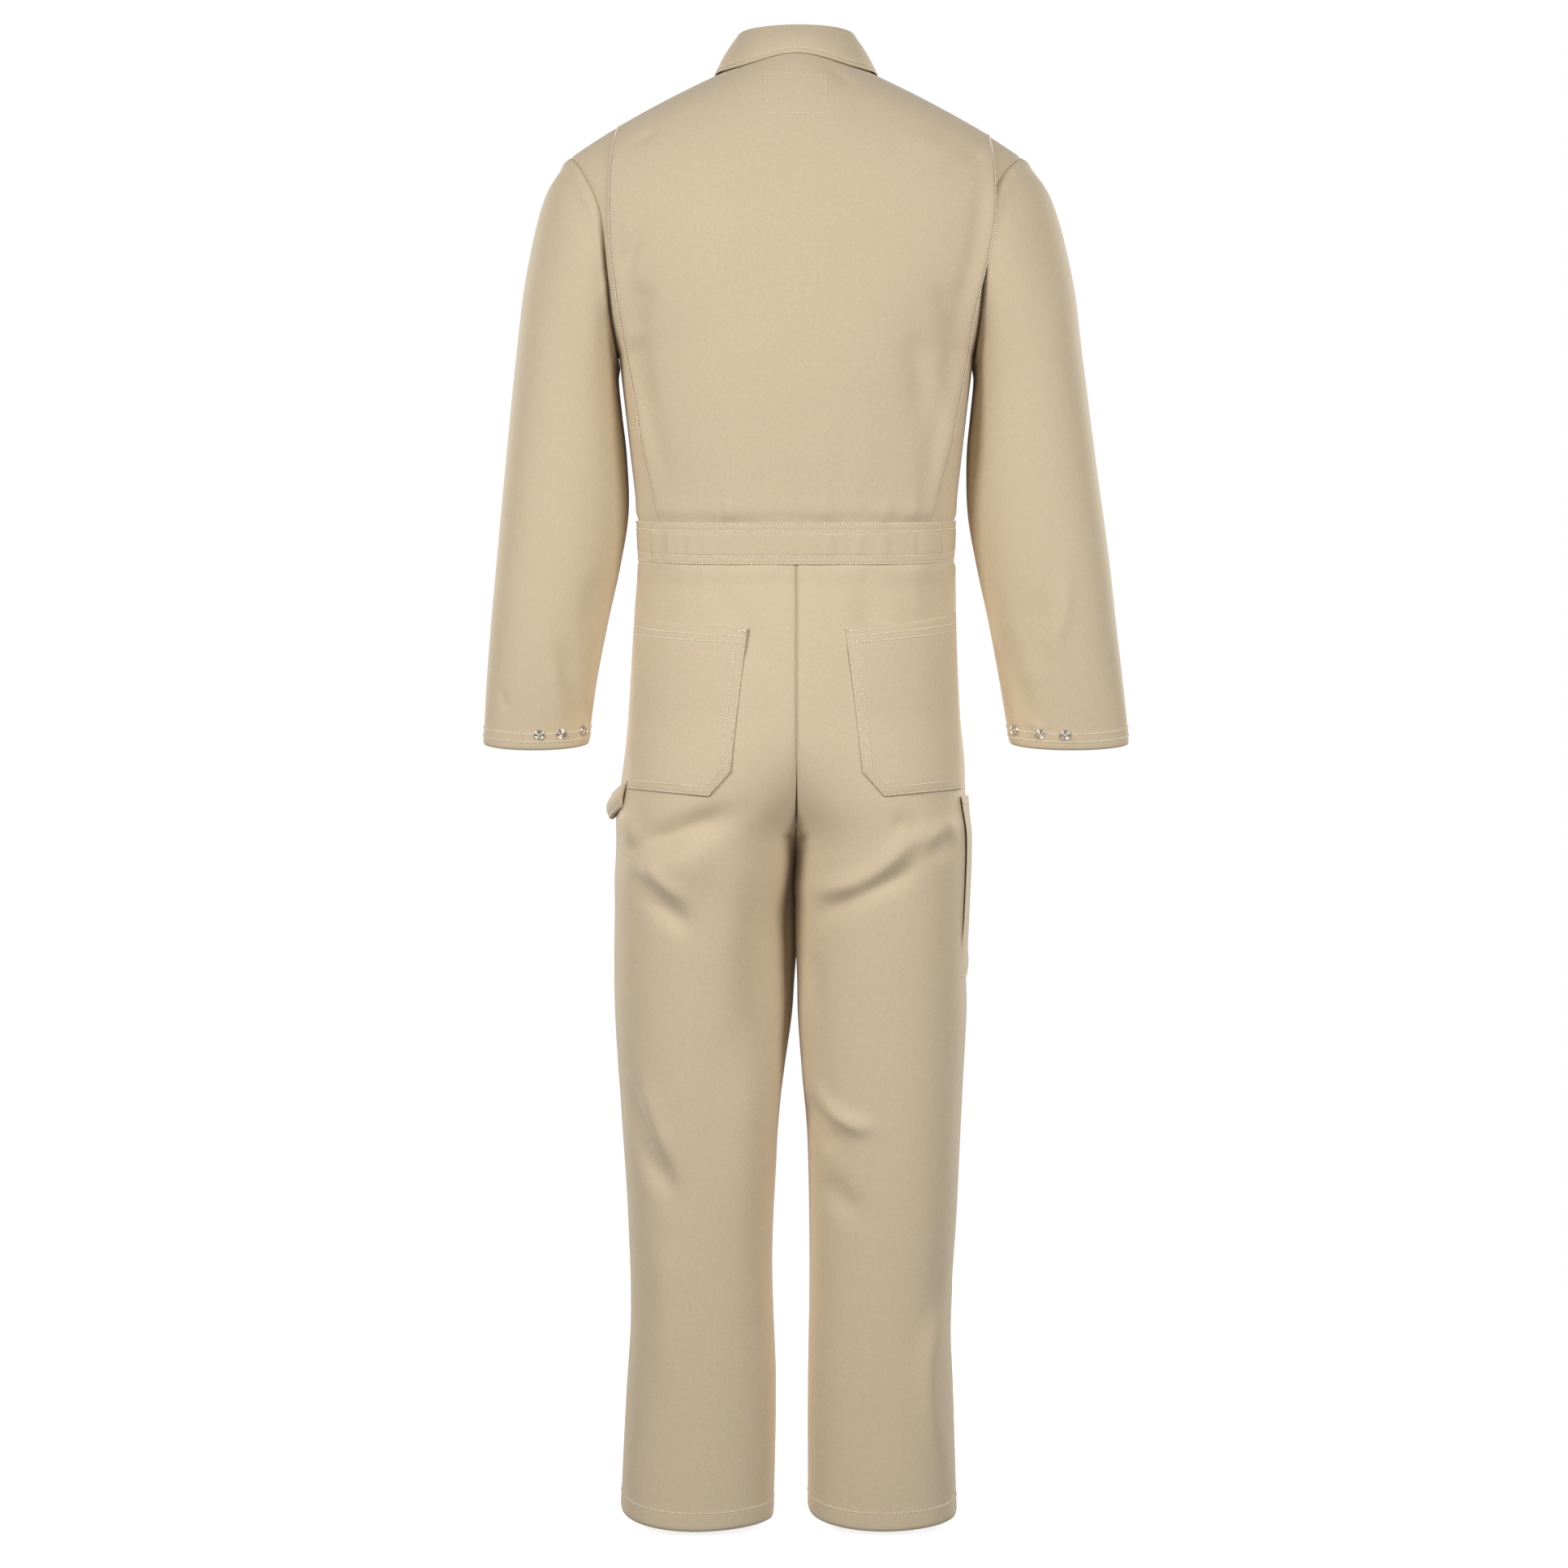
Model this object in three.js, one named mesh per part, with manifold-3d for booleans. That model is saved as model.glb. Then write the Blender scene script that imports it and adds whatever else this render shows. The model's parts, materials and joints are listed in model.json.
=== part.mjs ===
// Zip-front work coverall, hanging as if worn: cloth panels, two-way zip, pockets, flaps and snaps.
// Millimetres. +Z up, +X the wearer's left, +Y the wearer's back. Heights in the code are measured
// from the trouser hem; the finished group is lowered so that the side neck point's height is z = 0.
import * as THREE from "three";
import Module from "manifold-3d";
import { mergeVertices } from "three/addons/utils/BufferGeometryUtils.js";

const wasm = await Module();
wasm.setup();

const LEFT = 1;
const RIGHT = -1;
const BACK = 1;
const FRONT = -1;

// ---- Driving dimensions -------------------------------------------------------------------------
const INSEAM = 758;           // hem to crotch
const RISE = 306;             // crotch to the waistband's lower edge
const WAISTBAND = 45;         // height of the waistband
const BODICE = 495;           // waistband's upper edge to the side neck point
const SHOULDER_DROP = 92;     // side neck point down to the shoulder tip
const SHOULDER_HALF = 251;    // centre to shoulder tip
const ARMHOLE = 224;          // shoulder tip down to the underarm
const ARMHOLE_HALF_DEPTH = 68;
const CHEST_HALF = 198;       // half width at the underarm
const WAIST_HALF = 175;       // half width at the waistband
const BACK_DEPTH = 128;       // chest centre line to the fullest point of the back
const FRONT_DEPTH = 112;      // and to the front, which hangs straight beside the zip
const SHOULDER_ROUND = 150;   // height over which the body rounds over to the shoulder seam
const NECK_HALF = 84;
const NECK_BACK = 52;         // depth of the neck seam behind the centre
const NECK_DROP = 44;         // side neck point down to the front neck point
const SLEEVE = 650;           // shoulder tip down to the cuff
const CUFF_TILT = 0.27;       // the cuff's back edge hangs lower than its front edge
const SEAT_CURVE = 122;       // height over which the seat and fly curve in to the crotch

const CLOTH = 2;              // a panel with its turned seam allowances
const SEAM = 0.4;             // gap between edges that are sewn together
const LAYER = 0.5;            // gap between layers that lie on each other
const FACET = 0.7;            // extra lift for a patch whose flat facets span curved cloth
const HANG = 2.2;             // gap behind a facet for what hangs loosely inside a panel
const BODY_ROUND = 2.4;       // squareness of the body's cross-section, 2 is an ellipse
const LEG_ROUND = 2.15;

const COLLAR_HEIGHT = 45;     // side neck point up to the collar's fold
const COLLAR_HALF = 64;
const COLLAR_BACK = 46;
const COLLAR_FRONT_RISE = 23; // collar's fold above the seam at the front
const COLLAR_SPREAD = 62;     // centre to the collar point
const COLLAR_POINT_DROP = 92; // side neck point down to the collar point

const ZIP_GAP = 18;           // opening between the fly edges
const ZIP_TOP_DROP = 4;       // front neck point down to the top of the zip
const ZIP_ABOVE_SEAT = 26;    // zip's lower end above the start of the crotch curve
const CHAIN_GAP = 1.2;        // between the two closed rows, where the slider's web runs
const CHAIN_WIDTH = 2.8;
const CHAIN_DEPTH = 3;
const TAPE_WIDTH = 9.5;
const TAPE_THICK = 0.8;
const SLIDER_WIDTH = 11;
const SLIDER_LENGTH = 13;
const SLIDER_PLATE = 1.4;
const PULL_LENGTH = 30;
const PULL_WIDTH = 8;

const BACK_POCKET_WIDTH = 122;
const BACK_POCKET_HEIGHT = 193;
const BACK_POCKET_DROP = 64;  // waistband's lower edge down to the pocket mouth
const CHEST_POCKET_WIDTH = 100;
const CHEST_POCKET_HEIGHT = 122;
const CHEST_POCKET_CENTRE = 105;
const FLAP_HEIGHT = 46;
const FLAP_WIDTH = 106;
const SNAP_RADIUS = 5.8;
const LABEL_WIDTH = 66;
const LABEL_HEIGHT = 46;

// ---- Heights that follow from them --------------------------------------------------------------
const SEAT_Z = INSEAM + SEAT_CURVE;
const WAIST_LOW = INSEAM + RISE;
const WAIST_TOP = WAIST_LOW + WAISTBAND;
const NECK_Z = WAIST_TOP + BODICE;
const TIP_Z = NECK_Z - SHOULDER_DROP;
const UNDERARM_Z = TIP_Z - ARMHOLE;
const CUFF_Z = TIP_Z - SLEEVE;
const FLY_EDGE = ZIP_GAP / 2;
const ZIP_TOP = NECK_Z - NECK_DROP - ZIP_TOP_DROP;
const ZIP_LOW = SEAT_Z + ZIP_ABOVE_SEAT;
const FLY_LOW = ZIP_LOW - 8;

// ---- Colours and finishes -----------------------------------------------------------------------
const twill = () => new THREE.MeshStandardMaterial({ color: 0xd3c3a8, roughness: 0.85, metalness: 0 });
const tapeCloth = () => new THREE.MeshStandardMaterial({ color: 0xb9a888, roughness: 0.9, metalness: 0 });
const elastic = () => new THREE.MeshStandardMaterial({ color: 0xe8e4da, roughness: 0.9, metalness: 0 });
const label = () => new THREE.MeshStandardMaterial({ color: 0xf2efe8, roughness: 0.8, metalness: 0 });
const brass = () => new THREE.MeshStandardMaterial({ color: 0xb08d4c, roughness: 0.35, metalness: 1 });
const nickel = () => new THREE.MeshStandardMaterial({ color: 0xd8cfc0, roughness: 0.25, metalness: 1 });

// ---- Small helpers ------------------------------------------------------------------------------
const coverall = new THREE.Group();

function addPart(name, geometry, material) {
  const mesh = new THREE.Mesh(geometry, material);
  mesh.name = name;
  coverall.add(mesh);
  return mesh;
}

const sideName = (side) => (side === LEFT ? "left" : "right");
const clamp = (value, low, high) => Math.min(high, Math.max(low, value));
const mix = (a, b, t) => a + (b - a) * t;

function steps(count) {
  return Array.from({ length: count + 1 }, (_, i) => i / count);
}

// Steps that crowd together towards 1, for cloth that turns over an edge there.
function easedSteps(count) {
  return steps(count).map((t) => Math.sin(t * Math.PI / 2));
}

// Smooth curve through [position, value] stations, level beyond both ends.
function profile(stations) {
  const last = stations.length - 1;
  const slope = (i) => {
    const before = stations[Math.max(i - 1, 0)];
    const after = stations[Math.min(i + 1, last)];
    return (after[1] - before[1]) / (after[0] - before[0]);
  };
  return (position) => {
    if (position <= stations[0][0]) return stations[0][1];
    if (position >= stations[last][0]) return stations[last][1];
    const i = stations.findIndex((station) => station[0] > position) - 1;
    const width = stations[i + 1][0] - stations[i][0];
    const t = (position - stations[i][0]) / width;
    const start = stations[i][1];
    const end = stations[i + 1][1];
    const bendStart = slope(i) * width * t * (1 - t) * (1 - t);
    const bendEnd = slope(i + 1) * width * t * t * (1 - t);
    return mix(start, end, t * t * (3 - 2 * t)) + bendStart - bendEnd;
  };
}

// Closed solid between an outer surface at(u, v) and the same surface moved inwards by the cloth's
// thickness. core(point) is a point inside the garment, which tells in from out. A flat edge keeps
// its thickness square to the given direction, so that it is cut to a plane. A back or front face
// keeps its inner side clear of the seams' plane, y = 0.
function shell(at, core, us, vs, options = {}) {
  const { thickness = CLOTH, closed = false, flatFirst = null, flatLast = null, face = 0 } = options;
  const outer = [];
  const inner = [];
  const tiny = 1e-3;
  vs.forEach((v, row) => {
    us.forEach((u) => {
      const point = at(u, v);
      const alongU = at(closed ? u + tiny : Math.min(u + tiny, 1), v);
      alongU.sub(at(closed ? u - tiny : Math.max(u - tiny, 0), v));
      const alongV = at(u, Math.min(v + tiny, 1)).sub(at(u, Math.max(v - tiny, 0)));
      const normal = alongU.cross(alongV).normalize();
      if (normal.dot(point.clone().sub(core(point))) < 0) normal.negate();
      const flat = row === 0 ? flatFirst : row === vs.length - 1 ? flatLast : null;
      if (flat) normal.addScaledVector(flat, -normal.dot(flat)).normalize();
      outer.push(point);
      const under = point.clone().addScaledVector(normal, -thickness);
      if (face) under.y = face * Math.max(face * under.y, SEAM / 2);
      inner.push(under);
    });
  });
  return skin(outer, inner, us.length, vs.length, closed);
}

// Joins two grids of points into one closed body, with its faces turned outwards.
function skin(outer, inner, width, height, closed) {
  const points = outer.concat(inner);
  const half = outer.length;
  const faces = [];
  const quad = (a, b, c, d) => faces.push(a, b, c, a, c, d);
  const across = closed ? width : width - 1;
  for (let row = 0; row < height - 1; row += 1) {
    for (let column = 0; column < across; column += 1) {
      const next = (column + 1) % width;
      const a = row * width + column;
      const b = row * width + next;
      const c = (row + 1) * width + next;
      const d = (row + 1) * width + column;
      quad(a, b, c, d);
      quad(half + a, half + d, half + c, half + b);
    }
  }
  for (let column = 0; column < across; column += 1) {
    const next = (column + 1) % width;
    const top = (height - 1) * width;
    quad(column, half + column, half + next, next);
    quad(top + column, top + next, half + top + next, half + top + column);
  }
  if (!closed) {
    for (let row = 0; row < height - 1; row += 1) {
      const a = row * width;
      const b = a + width;
      quad(a, b, half + b, half + a);
      const c = a + width - 1;
      const d = c + width;
      quad(c, half + c, half + d, d);
    }
  }
  if (signedVolume(points, faces) < 0) faces.reverse();
  const geometry = new THREE.BufferGeometry();
  const numbers = points.flatMap((point) => [point.x, point.y, point.z]);
  geometry.setAttribute("position", new THREE.Float32BufferAttribute(numbers, 3));
  geometry.setIndex(faces);
  geometry.computeVertexNormals();
  return geometry;
}

function signedVolume(points, faces) {
  let sum = 0;
  for (let i = 0; i < faces.length; i += 3) {
    const [a, b, c] = [points[faces[i]], points[faces[i + 1]], points[faces[i + 2]]];
    sum += a.dot(b.clone().cross(c));
  }
  return sum;
}

function solidOf(geometry) {
  const bare = geometry.index ? geometry : geometry.clone();
  bare.deleteAttribute("normal");
  bare.deleteAttribute("uv");
  const merged = mergeVertices(bare, 1e-4);
  return new wasm.Manifold(new wasm.Mesh({
    numProp: 3,
    vertProperties: new Float32Array(merged.attributes.position.array),
    triVerts: new Uint32Array(merged.index.array),
  }));
}

function geometryOf(solid) {
  const mesh = solid.getMesh();
  const geometry = new THREE.BufferGeometry();
  geometry.setAttribute("position", new THREE.BufferAttribute(mesh.vertProperties, 3));
  geometry.setIndex(new THREE.BufferAttribute(mesh.triVerts, 1));
  return geometry;
}

function block(x0, x1, y0, y1, z0, z1) {
  const geometry = new THREE.BoxGeometry(x1 - x0, y1 - y0, z1 - z0);
  return geometry.translate((x0 + x1) / 2, (y0 + y1) / 2, (z0 + z1) / 2);
}

// ---- Upper body: depth of the cloth in front of or behind each point (x, z) ----------------------
const shoulderLine = profile([
  [-NECK_HALF, NECK_Z],
  [0, NECK_Z + 38],
  [NECK_HALF, NECK_Z],
  [mix(NECK_HALF, SHOULDER_HALF, 0.34), NECK_Z - 0.3 * SHOULDER_DROP],
  [mix(NECK_HALF, SHOULDER_HALF, 0.73), NECK_Z - 0.69 * SHOULDER_DROP],
  [SHOULDER_HALF, TIP_Z],
  [SHOULDER_HALF + 20, TIP_Z - 13],
]);
const backFullness = profile([
  [WAIST_LOW, BACK_DEPTH - 28],
  [WAIST_TOP, BACK_DEPTH - 23],
  [mix(WAIST_TOP, UNDERARM_Z, 0.5), BACK_DEPTH - 10],
  [UNDERARM_Z, BACK_DEPTH],
  [mix(UNDERARM_Z, TIP_Z, 0.5), BACK_DEPTH],
  [TIP_Z, BACK_DEPTH - 13],
  [NECK_Z, BACK_DEPTH - 20],
]);

function shoulderRounding(x, z) {
  const drop = (shoulderLine(Math.abs(x)) - z) / SHOULDER_ROUND;
  if (drop >= 1) return 1;
  return Math.sqrt(Math.max(0, 1 - (1 - drop) ** 2));
}

function armholeX(z) {
  return mix(CHEST_HALF, SHOULDER_HALF, (clamp(z, UNDERARM_Z, TIP_Z) - UNDERARM_Z) / ARMHOLE);
}

function bodyHalf(z) {
  if (z <= WAIST_TOP) return mix(WAIST_HALF, WAIST_HALF + 2, (z - WAIST_LOW) / WAISTBAND);
  return mix(WAIST_HALF + 2, CHEST_HALF, clamp((z - WAIST_TOP) / (UNDERARM_Z - WAIST_TOP), 0, 1));
}

// Straight beside the zip, so the rounding over the shoulder is measured against that at the centre.
function bodyDepth(face, x, z) {
  if (face === BACK) return backFullness(z) * shoulderRounding(x, z);
  return FRONT_DEPTH * shoulderRounding(x, z) / shoulderRounding(0, z);
}

// The section's own half width: the side seam below the underarm, and above it whatever width makes
// the cloth meet the armhole's oval.
function sectionHalf(face, z) {
  if (z <= UNDERARM_Z) return bodyHalf(z);
  const height = Math.min(z, TIP_Z - 0.5);
  const middle = (TIP_Z + UNDERARM_Z) / 2;
  const oval = ARMHOLE_HALF_DEPTH * Math.sqrt(Math.max(0, 1 - ((height - middle) / (ARMHOLE / 2)) ** 2));
  const share = oval / bodyDepth(face, armholeX(height), height);
  return armholeX(height) / (1 - share ** BODY_ROUND) ** (1 / BODY_ROUND);
}

function bodyY(face, x, z) {
  const share = Math.min(1, Math.abs(x) / sectionHalf(face, z));
  const depth = bodyDepth(face, x, z) * (1 - share ** BODY_ROUND) ** (1 / BODY_ROUND);
  return face * (depth + SEAM / 2);
}

const bodyPoint = (face, x, z) => new THREE.Vector3(x, bodyY(face, x, z), z);
const bodyCore = (point) => new THREE.Vector3(point.x * 0.8, 0, point.z - 80);

function bodyNormal(face, x, z) {
  const alongX = bodyPoint(face, x + 0.5, z).sub(bodyPoint(face, x - 0.5, z));
  const alongZ = bodyPoint(face, x, z + 0.5).sub(bodyPoint(face, x, z - 0.5));
  const normal = alongX.cross(alongZ).normalize();
  return normal.y * face < 0 ? normal.negate() : normal;
}

function liftedBodyPoint(face, x, z, lift) {
  return bodyPoint(face, x, z).addScaledVector(bodyNormal(face, x, z), lift);
}

// Height at which the back meets an upright oval cylinder round the neck.
function backNeckZ(x, half, depth) {
  const wanted = depth * Math.sqrt(Math.max(0, 1 - (x / half) ** 2));
  let low = shoulderLine(x) - SHOULDER_ROUND;
  let high = shoulderLine(x);
  for (let i = 0; i < 40; i += 1) {
    const middle = (low + high) / 2;
    if (bodyY(BACK, x, middle) > wanted) low = middle;
    else high = middle;
  }
  return (low + high) / 2;
}

function frontNeckZ(x) {
  return NECK_Z - NECK_DROP * Math.sqrt(Math.max(0, 1 - (x / NECK_HALF) ** 2));
}

function topEdge(face, x) {
  if (Math.abs(x) >= NECK_HALF) return shoulderLine(Math.abs(x));
  return face === BACK ? backNeckZ(Math.abs(x), NECK_HALF, NECK_BACK) : frontNeckZ(x);
}

// Outer edge of a bodice panel: side seam, then armhole, then straight up from the shoulder tip.
const bodiceEdge = (z) => (z < UNDERARM_Z ? bodyHalf(z) : armholeX(z));

// Folded edge of the action pleat, from the shoulder to the waist.
const pleatEdge = {
  [LEFT]: profile([[WAIST_TOP, 150], [UNDERARM_Z - 10, 181], [UNDERARM_Z + 50, 192], [UNDERARM_Z + 130, 202],
    [UNDERARM_Z + 190, 203], [NECK_Z - 60, 198]]),
  [RIGHT]: profile([[WAIST_TOP, 147], [UNDERARM_Z - 10, 181], [UNDERARM_Z + 40, 190], [UNDERARM_Z + 120, 209],
    [UNDERARM_Z + 180, 215], [NECK_Z - 65, 214]]),
};

// ---- Bodice panels ------------------------------------------------------------------------------
const up = new THREE.Vector3(0, 0, 1);
const underarmShare = (UNDERARM_Z - WAIST_TOP) / BODICE;
const bodiceRows = easedSteps(9).concat([underarmShare * 1.08]).sort((a, b) => a - b);
const PLEAT_LIFT = CLOTH + LAYER;

function makeBackPanel() {
  const fractions = [0, 0.25, 0.5, 0.75, 1].map((t) => [t, 0]).concat([0.35, 0.7, 1].map((t) => [1, t]));
  const halfColumns = fractions.map(([neck, shoulder]) => (neck + shoulder) / 2);
  const columns = halfColumns.slice(1).reverse().map((t) => 0.5 - t / 2);
  columns.push(...halfColumns.map((t) => 0.5 + t / 2));
  const at = (u, v) => {
    const side = u < 0.5 ? RIGHT : LEFT;
    const t = Math.abs(u - 0.5) * 4;
    const edge = pleatEdge[side];
    const shoulder = edge(NECK_Z);
    const topX = t <= 1 ? NECK_HALF * t : mix(NECK_HALF, shoulder, t - 1);
    const z = mix(WAIST_TOP + SEAM, topEdge(BACK, topX), v);
    const x = side * topX * edge(z) / shoulder;
    const turned = topX > NECK_HALF ? 1 : 0.999;
    return liftedBodyPoint(BACK, x * turned, z, PLEAT_LIFT);
  };
  addPart("back_panel", shell(at, bodyCore, columns, bodiceRows, { flatFirst: up, face: BACK }), twill());
}

function makeBackSide(side) {
  const at = (u, v) => {
    const innerX = (z) => pleatEdge[side](z) + SEAM;
    const topX = mix(innerX(NECK_Z), SHOULDER_HALF, u);
    const z = mix(WAIST_TOP + SEAM, shoulderLine(topX), v);
    const x = mix(innerX(z), bodiceEdge(z), u);
    return bodyPoint(BACK, side * x, z);
  };
  const geometry = shell(at, bodyCore, easedSteps(4), bodiceRows, { flatFirst: up, face: BACK });
  addPart(`back_side_${sideName(side)}`, geometry, twill());
}

function makeFrontPanel(side) {
  const at = (u, v) => {
    const neckShare = 0.4;
    const overShoulder = Math.sin(clamp((u - neckShare) / (1 - neckShare), 0, 1) * Math.PI / 2);
    const underNeck = clamp(u / neckShare, 0, 1);
    const topX = u < neckShare ? mix(FLY_EDGE, NECK_HALF, underNeck) : mix(NECK_HALF, SHOULDER_HALF, overShoulder);
    const z = mix(WAIST_TOP + SEAM, topEdge(FRONT, topX), v);
    const share = (topX - FLY_EDGE) / (SHOULDER_HALF - FLY_EDGE);
    return bodyPoint(FRONT, side * mix(FLY_EDGE, bodiceEdge(z), share), z);
  };
  const geometry = shell(at, bodyCore, steps(10), bodiceRows, { flatFirst: up, face: FRONT });
  addPart(`front_panel_${sideName(side)}`, geometry, twill());
}

// ---- Waistband ----------------------------------------------------------------------------------
const bandCore = (point) => new THREE.Vector3(point.x * 0.5, 0, point.z);

function bandPoint(face, x, z, inset) {
  const half = bodyHalf(z) - inset;
  const depth = (face === BACK ? backFullness(z) : FRONT_DEPTH) - inset;
  const share = Math.min(1, Math.abs(x) / half);
  return new THREE.Vector3(x, face * (depth * (1 - share ** BODY_ROUND) ** (1 / BODY_ROUND) + SEAM / 2), z);
}

function makeWaistband() {
  const bandZ = (v) => mix(WAIST_LOW + SEAM, WAIST_TOP - SEAM, v);
  const flat = { flatFirst: up, flatLast: up };
  const around = steps(16).map((t) => t);
  const back = (u, v) => bandPoint(BACK, -bodyHalf(bandZ(v)) * Math.cos(u * Math.PI), bandZ(v), 0);
  addPart("waistband_back", shell(back, bandCore, around, steps(1), flat), twill());
  for (const side of [LEFT, RIGHT]) {
    const front = (u, v) => {
      const x = mix(FLY_EDGE, bodyHalf(bandZ(v)), Math.sin(u * Math.PI / 2));
      return bandPoint(FRONT, side * x, bandZ(v), 0);
    };
    addPart(`waistband_front_${sideName(side)}`, shell(front, bandCore, steps(7), steps(1), flat), twill());
  }
  const elasticInset = CLOTH + LAYER + FACET;
  const elasticEnd = 0.1;
  const strip = (u, v) => {
    const z = mix(WAIST_LOW + 4, WAIST_TOP - 4, v);
    const turn = mix(elasticEnd, 1 - elasticEnd, u) * Math.PI;
    return bandPoint(BACK, -(bodyHalf(z) - elasticInset) * Math.cos(turn), z, elasticInset);
  };
  const stripShell = shell(strip, bandCore, steps(12), steps(1), { ...flat, thickness: 1.2 });
  addPart("waist_elastic", stripShell, elastic());
}

// ---- Trousers -----------------------------------------------------------------------------------
// Stations are [share of the inseam or of the rise, half width or reach in millimetres].
const legStations = {
  [LEFT]: { outer: [[0, 195], [0.18, 189], [0.3, 184], [0.45, 187], [0.6, 194], [0.75, 201], [0.9, 201.5], [1, 200]],
    inner: [[0, 25], [0.2, 22], [0.4, 26], [0.56, 21], [0.66, 12], [0.75, 3], [0.85, 1], [1, 0]],
    hip: [[0, 200], [0.1, 198], [0.32, 189], [0.44, 185.5], [0.68, 181], [1, WAIST_HALF]] },
  [RIGHT]: { outer: [[0, 179], [0.18, 175], [0.3, 172], [0.45, 178], [0.6, 183], [0.75, 189], [0.9, 194], [1, 196]],
    inner: [[0, 12], [0.2, 12], [0.4, 15], [0.56, 13], [0.66, 6], [0.75, 1], [0.85, 1], [1, 0]],
    hip: [[0, 196], [0.1, 193], [0.32, 186], [0.44, 182.5], [0.68, 179], [1, WAIST_HALF]] },
};
const legDepth = {
  [BACK]: [[0, 64], [0.18, 68], [0.38, 75], [0.56, 85], [0.75, 98], [0.9, 112], [1, 121]],
  [FRONT]: [[0, 64], [0.18, 66], [0.38, 70], [0.56, 77], [0.75, 88], [0.9, 100], [1, 107]],
};
const hipDepth = {
  [BACK]: [[0, 121], [0.14, 126], [0.4, 128], [0.7, 117], [1, BACK_DEPTH - 28]],
  [FRONT]: [[0, 107], [0.14, 111], [0.4, FRONT_DEPTH], [1, FRONT_DEPTH]],
};
const inMillimetres = (stations, start, length) => stations.map(([share, value]) => [start + share * length, value]);

function joinedProfile(leg, hip) {
  return profile(inMillimetres(leg, 0, INSEAM).concat(inMillimetres(hip.slice(1), INSEAM, RISE)));
}

const legOuter = {};
const legInner = {};
for (const side of [LEFT, RIGHT]) {
  legOuter[side] = joinedProfile(legStations[side].outer, legStations[side].hip);
  legInner[side] = profile(inMillimetres(legStations[side].inner, 0, INSEAM));
}
const trouserDepth = {
  [BACK]: joinedProfile(legDepth[BACK], hipDepth[BACK]),
  [FRONT]: joinedProfile(legDepth[FRONT], hipDepth[FRONT]),
};

// Centre and half width of the oval that a leg's section lies on. From the seat down to the crotch
// the oval moves from the body's centre line to the leg's own centre.
function legOval(side, z) {
  const outer = legOuter[side](z);
  if (z < INSEAM) {
    const inner = legInner[side](z);
    return { centre: (outer + inner) / 2, half: (outer - inner) / 2, inner };
  }
  const turn = clamp((SEAT_Z - z) / SEAT_CURVE, 0, 1);
  const centre = outer * turn / (1 + turn);
  return { centre, half: outer - centre, inner: 0 };
}

// Half width of the fly opening, closed below the zip.
function flyEdge(z) {
  return FLY_EDGE * clamp((z - FLY_LOW + 16) / 16, 0, 1);
}

function trouserY(face, side, x, z) {
  const { centre, half } = legOval(side, z);
  const share = Math.min(1, Math.abs(Math.abs(x) - centre) / half);
  return face * (trouserDepth[face](z) * (1 - share ** LEG_ROUND) ** (1 / LEG_ROUND) + SEAM / 2);
}

function legPoint(face, side, u, z) {
  const { centre, half, inner } = legOval(side, z);
  const innerEdge = z < INSEAM ? inner : face === FRONT ? flyEdge(z) : 0;
  const start = Math.acos(clamp((innerEdge - centre) / half, -1, 1));
  const turn = start * (1 - u);
  const x = centre + half * Math.cos(turn);
  return new THREE.Vector3(side * (x + SEAM / 2), trouserY(face, side, x, z), z);
}

const legCore = (side) => (point) => new THREE.Vector3(side * legOval(side, point.z).centre, 0, point.z + 20);

function trouserHeights() {
  const leg = [0, 0.14, 0.3, 0.45, 0.58, 0.7, 0.81, 0.9, 0.96].map((t) => t * INSEAM);
  const seat = [0, 0.2, 0.45, 0.72, 1].map((t) => INSEAM + t * SEAT_CURVE);
  return leg.concat(seat, [FLY_LOW + 0.5, mix(SEAT_Z, WAIST_LOW, 0.55), WAIST_LOW - SEAM]);
}

function makeTrousers() {
  const heights = trouserHeights();
  const top = WAIST_LOW - SEAM;
  for (const side of [LEFT, RIGHT]) {
    for (const [face, word] of [[BACK, "back"], [FRONT, "front"]]) {
      const at = (u, v) => legPoint(face, side, u, v * top);
      const rows = heights.map((z) => z / top);
      const geometry = shell(at, legCore(side), steps(9), rows, { flatFirst: up, flatLast: up });
      addPart(`trouser_${word}_${sideName(side)}`, geometry, twill());
    }
  }
}

function trouserNormal(face, side, x, z) {
  const point = (px, pz) => new THREE.Vector3(px, trouserY(face, side, px, pz), pz);
  const normal = point(x + 0.5, z).sub(point(x - 0.5, z)).cross(point(x, z + 0.5).sub(point(x, z - 0.5)));
  normal.normalize();
  return normal.y * face < 0 ? normal.negate() : normal;
}

// A flat piece sewn on the trousers: corner points are [x, z] of its top and bottom edges.
function trouserPatch(name, face, side, topEdgePoints, bottomEdgePoints, lift, columns, rows) {
  const edgePoint = (points, t) => {
    const i = Math.min(points.length - 2, points.findIndex((p, k) => k > 0 && p[2] >= t) - 1);
    const share = (t - points[i][2]) / (points[i + 1][2] - points[i][2]);
    return [mix(points[i][0], points[i + 1][0], share), mix(points[i][1], points[i + 1][1], share)];
  };
  const at = (u, v) => {
    const top = edgePoint(topEdgePoints, u);
    const bottom = edgePoint(bottomEdgePoints, u);
    const x = side * mix(bottom[0], top[0], v);
    const z = mix(bottom[1], top[1], v);
    const point = new THREE.Vector3(x, trouserY(face, side, x, z), z);
    return point.addScaledVector(trouserNormal(face, side, x, z), lift);
  };
  addPart(name, shell(at, legCore(side), columns, steps(rows)), twill());
}

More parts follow.
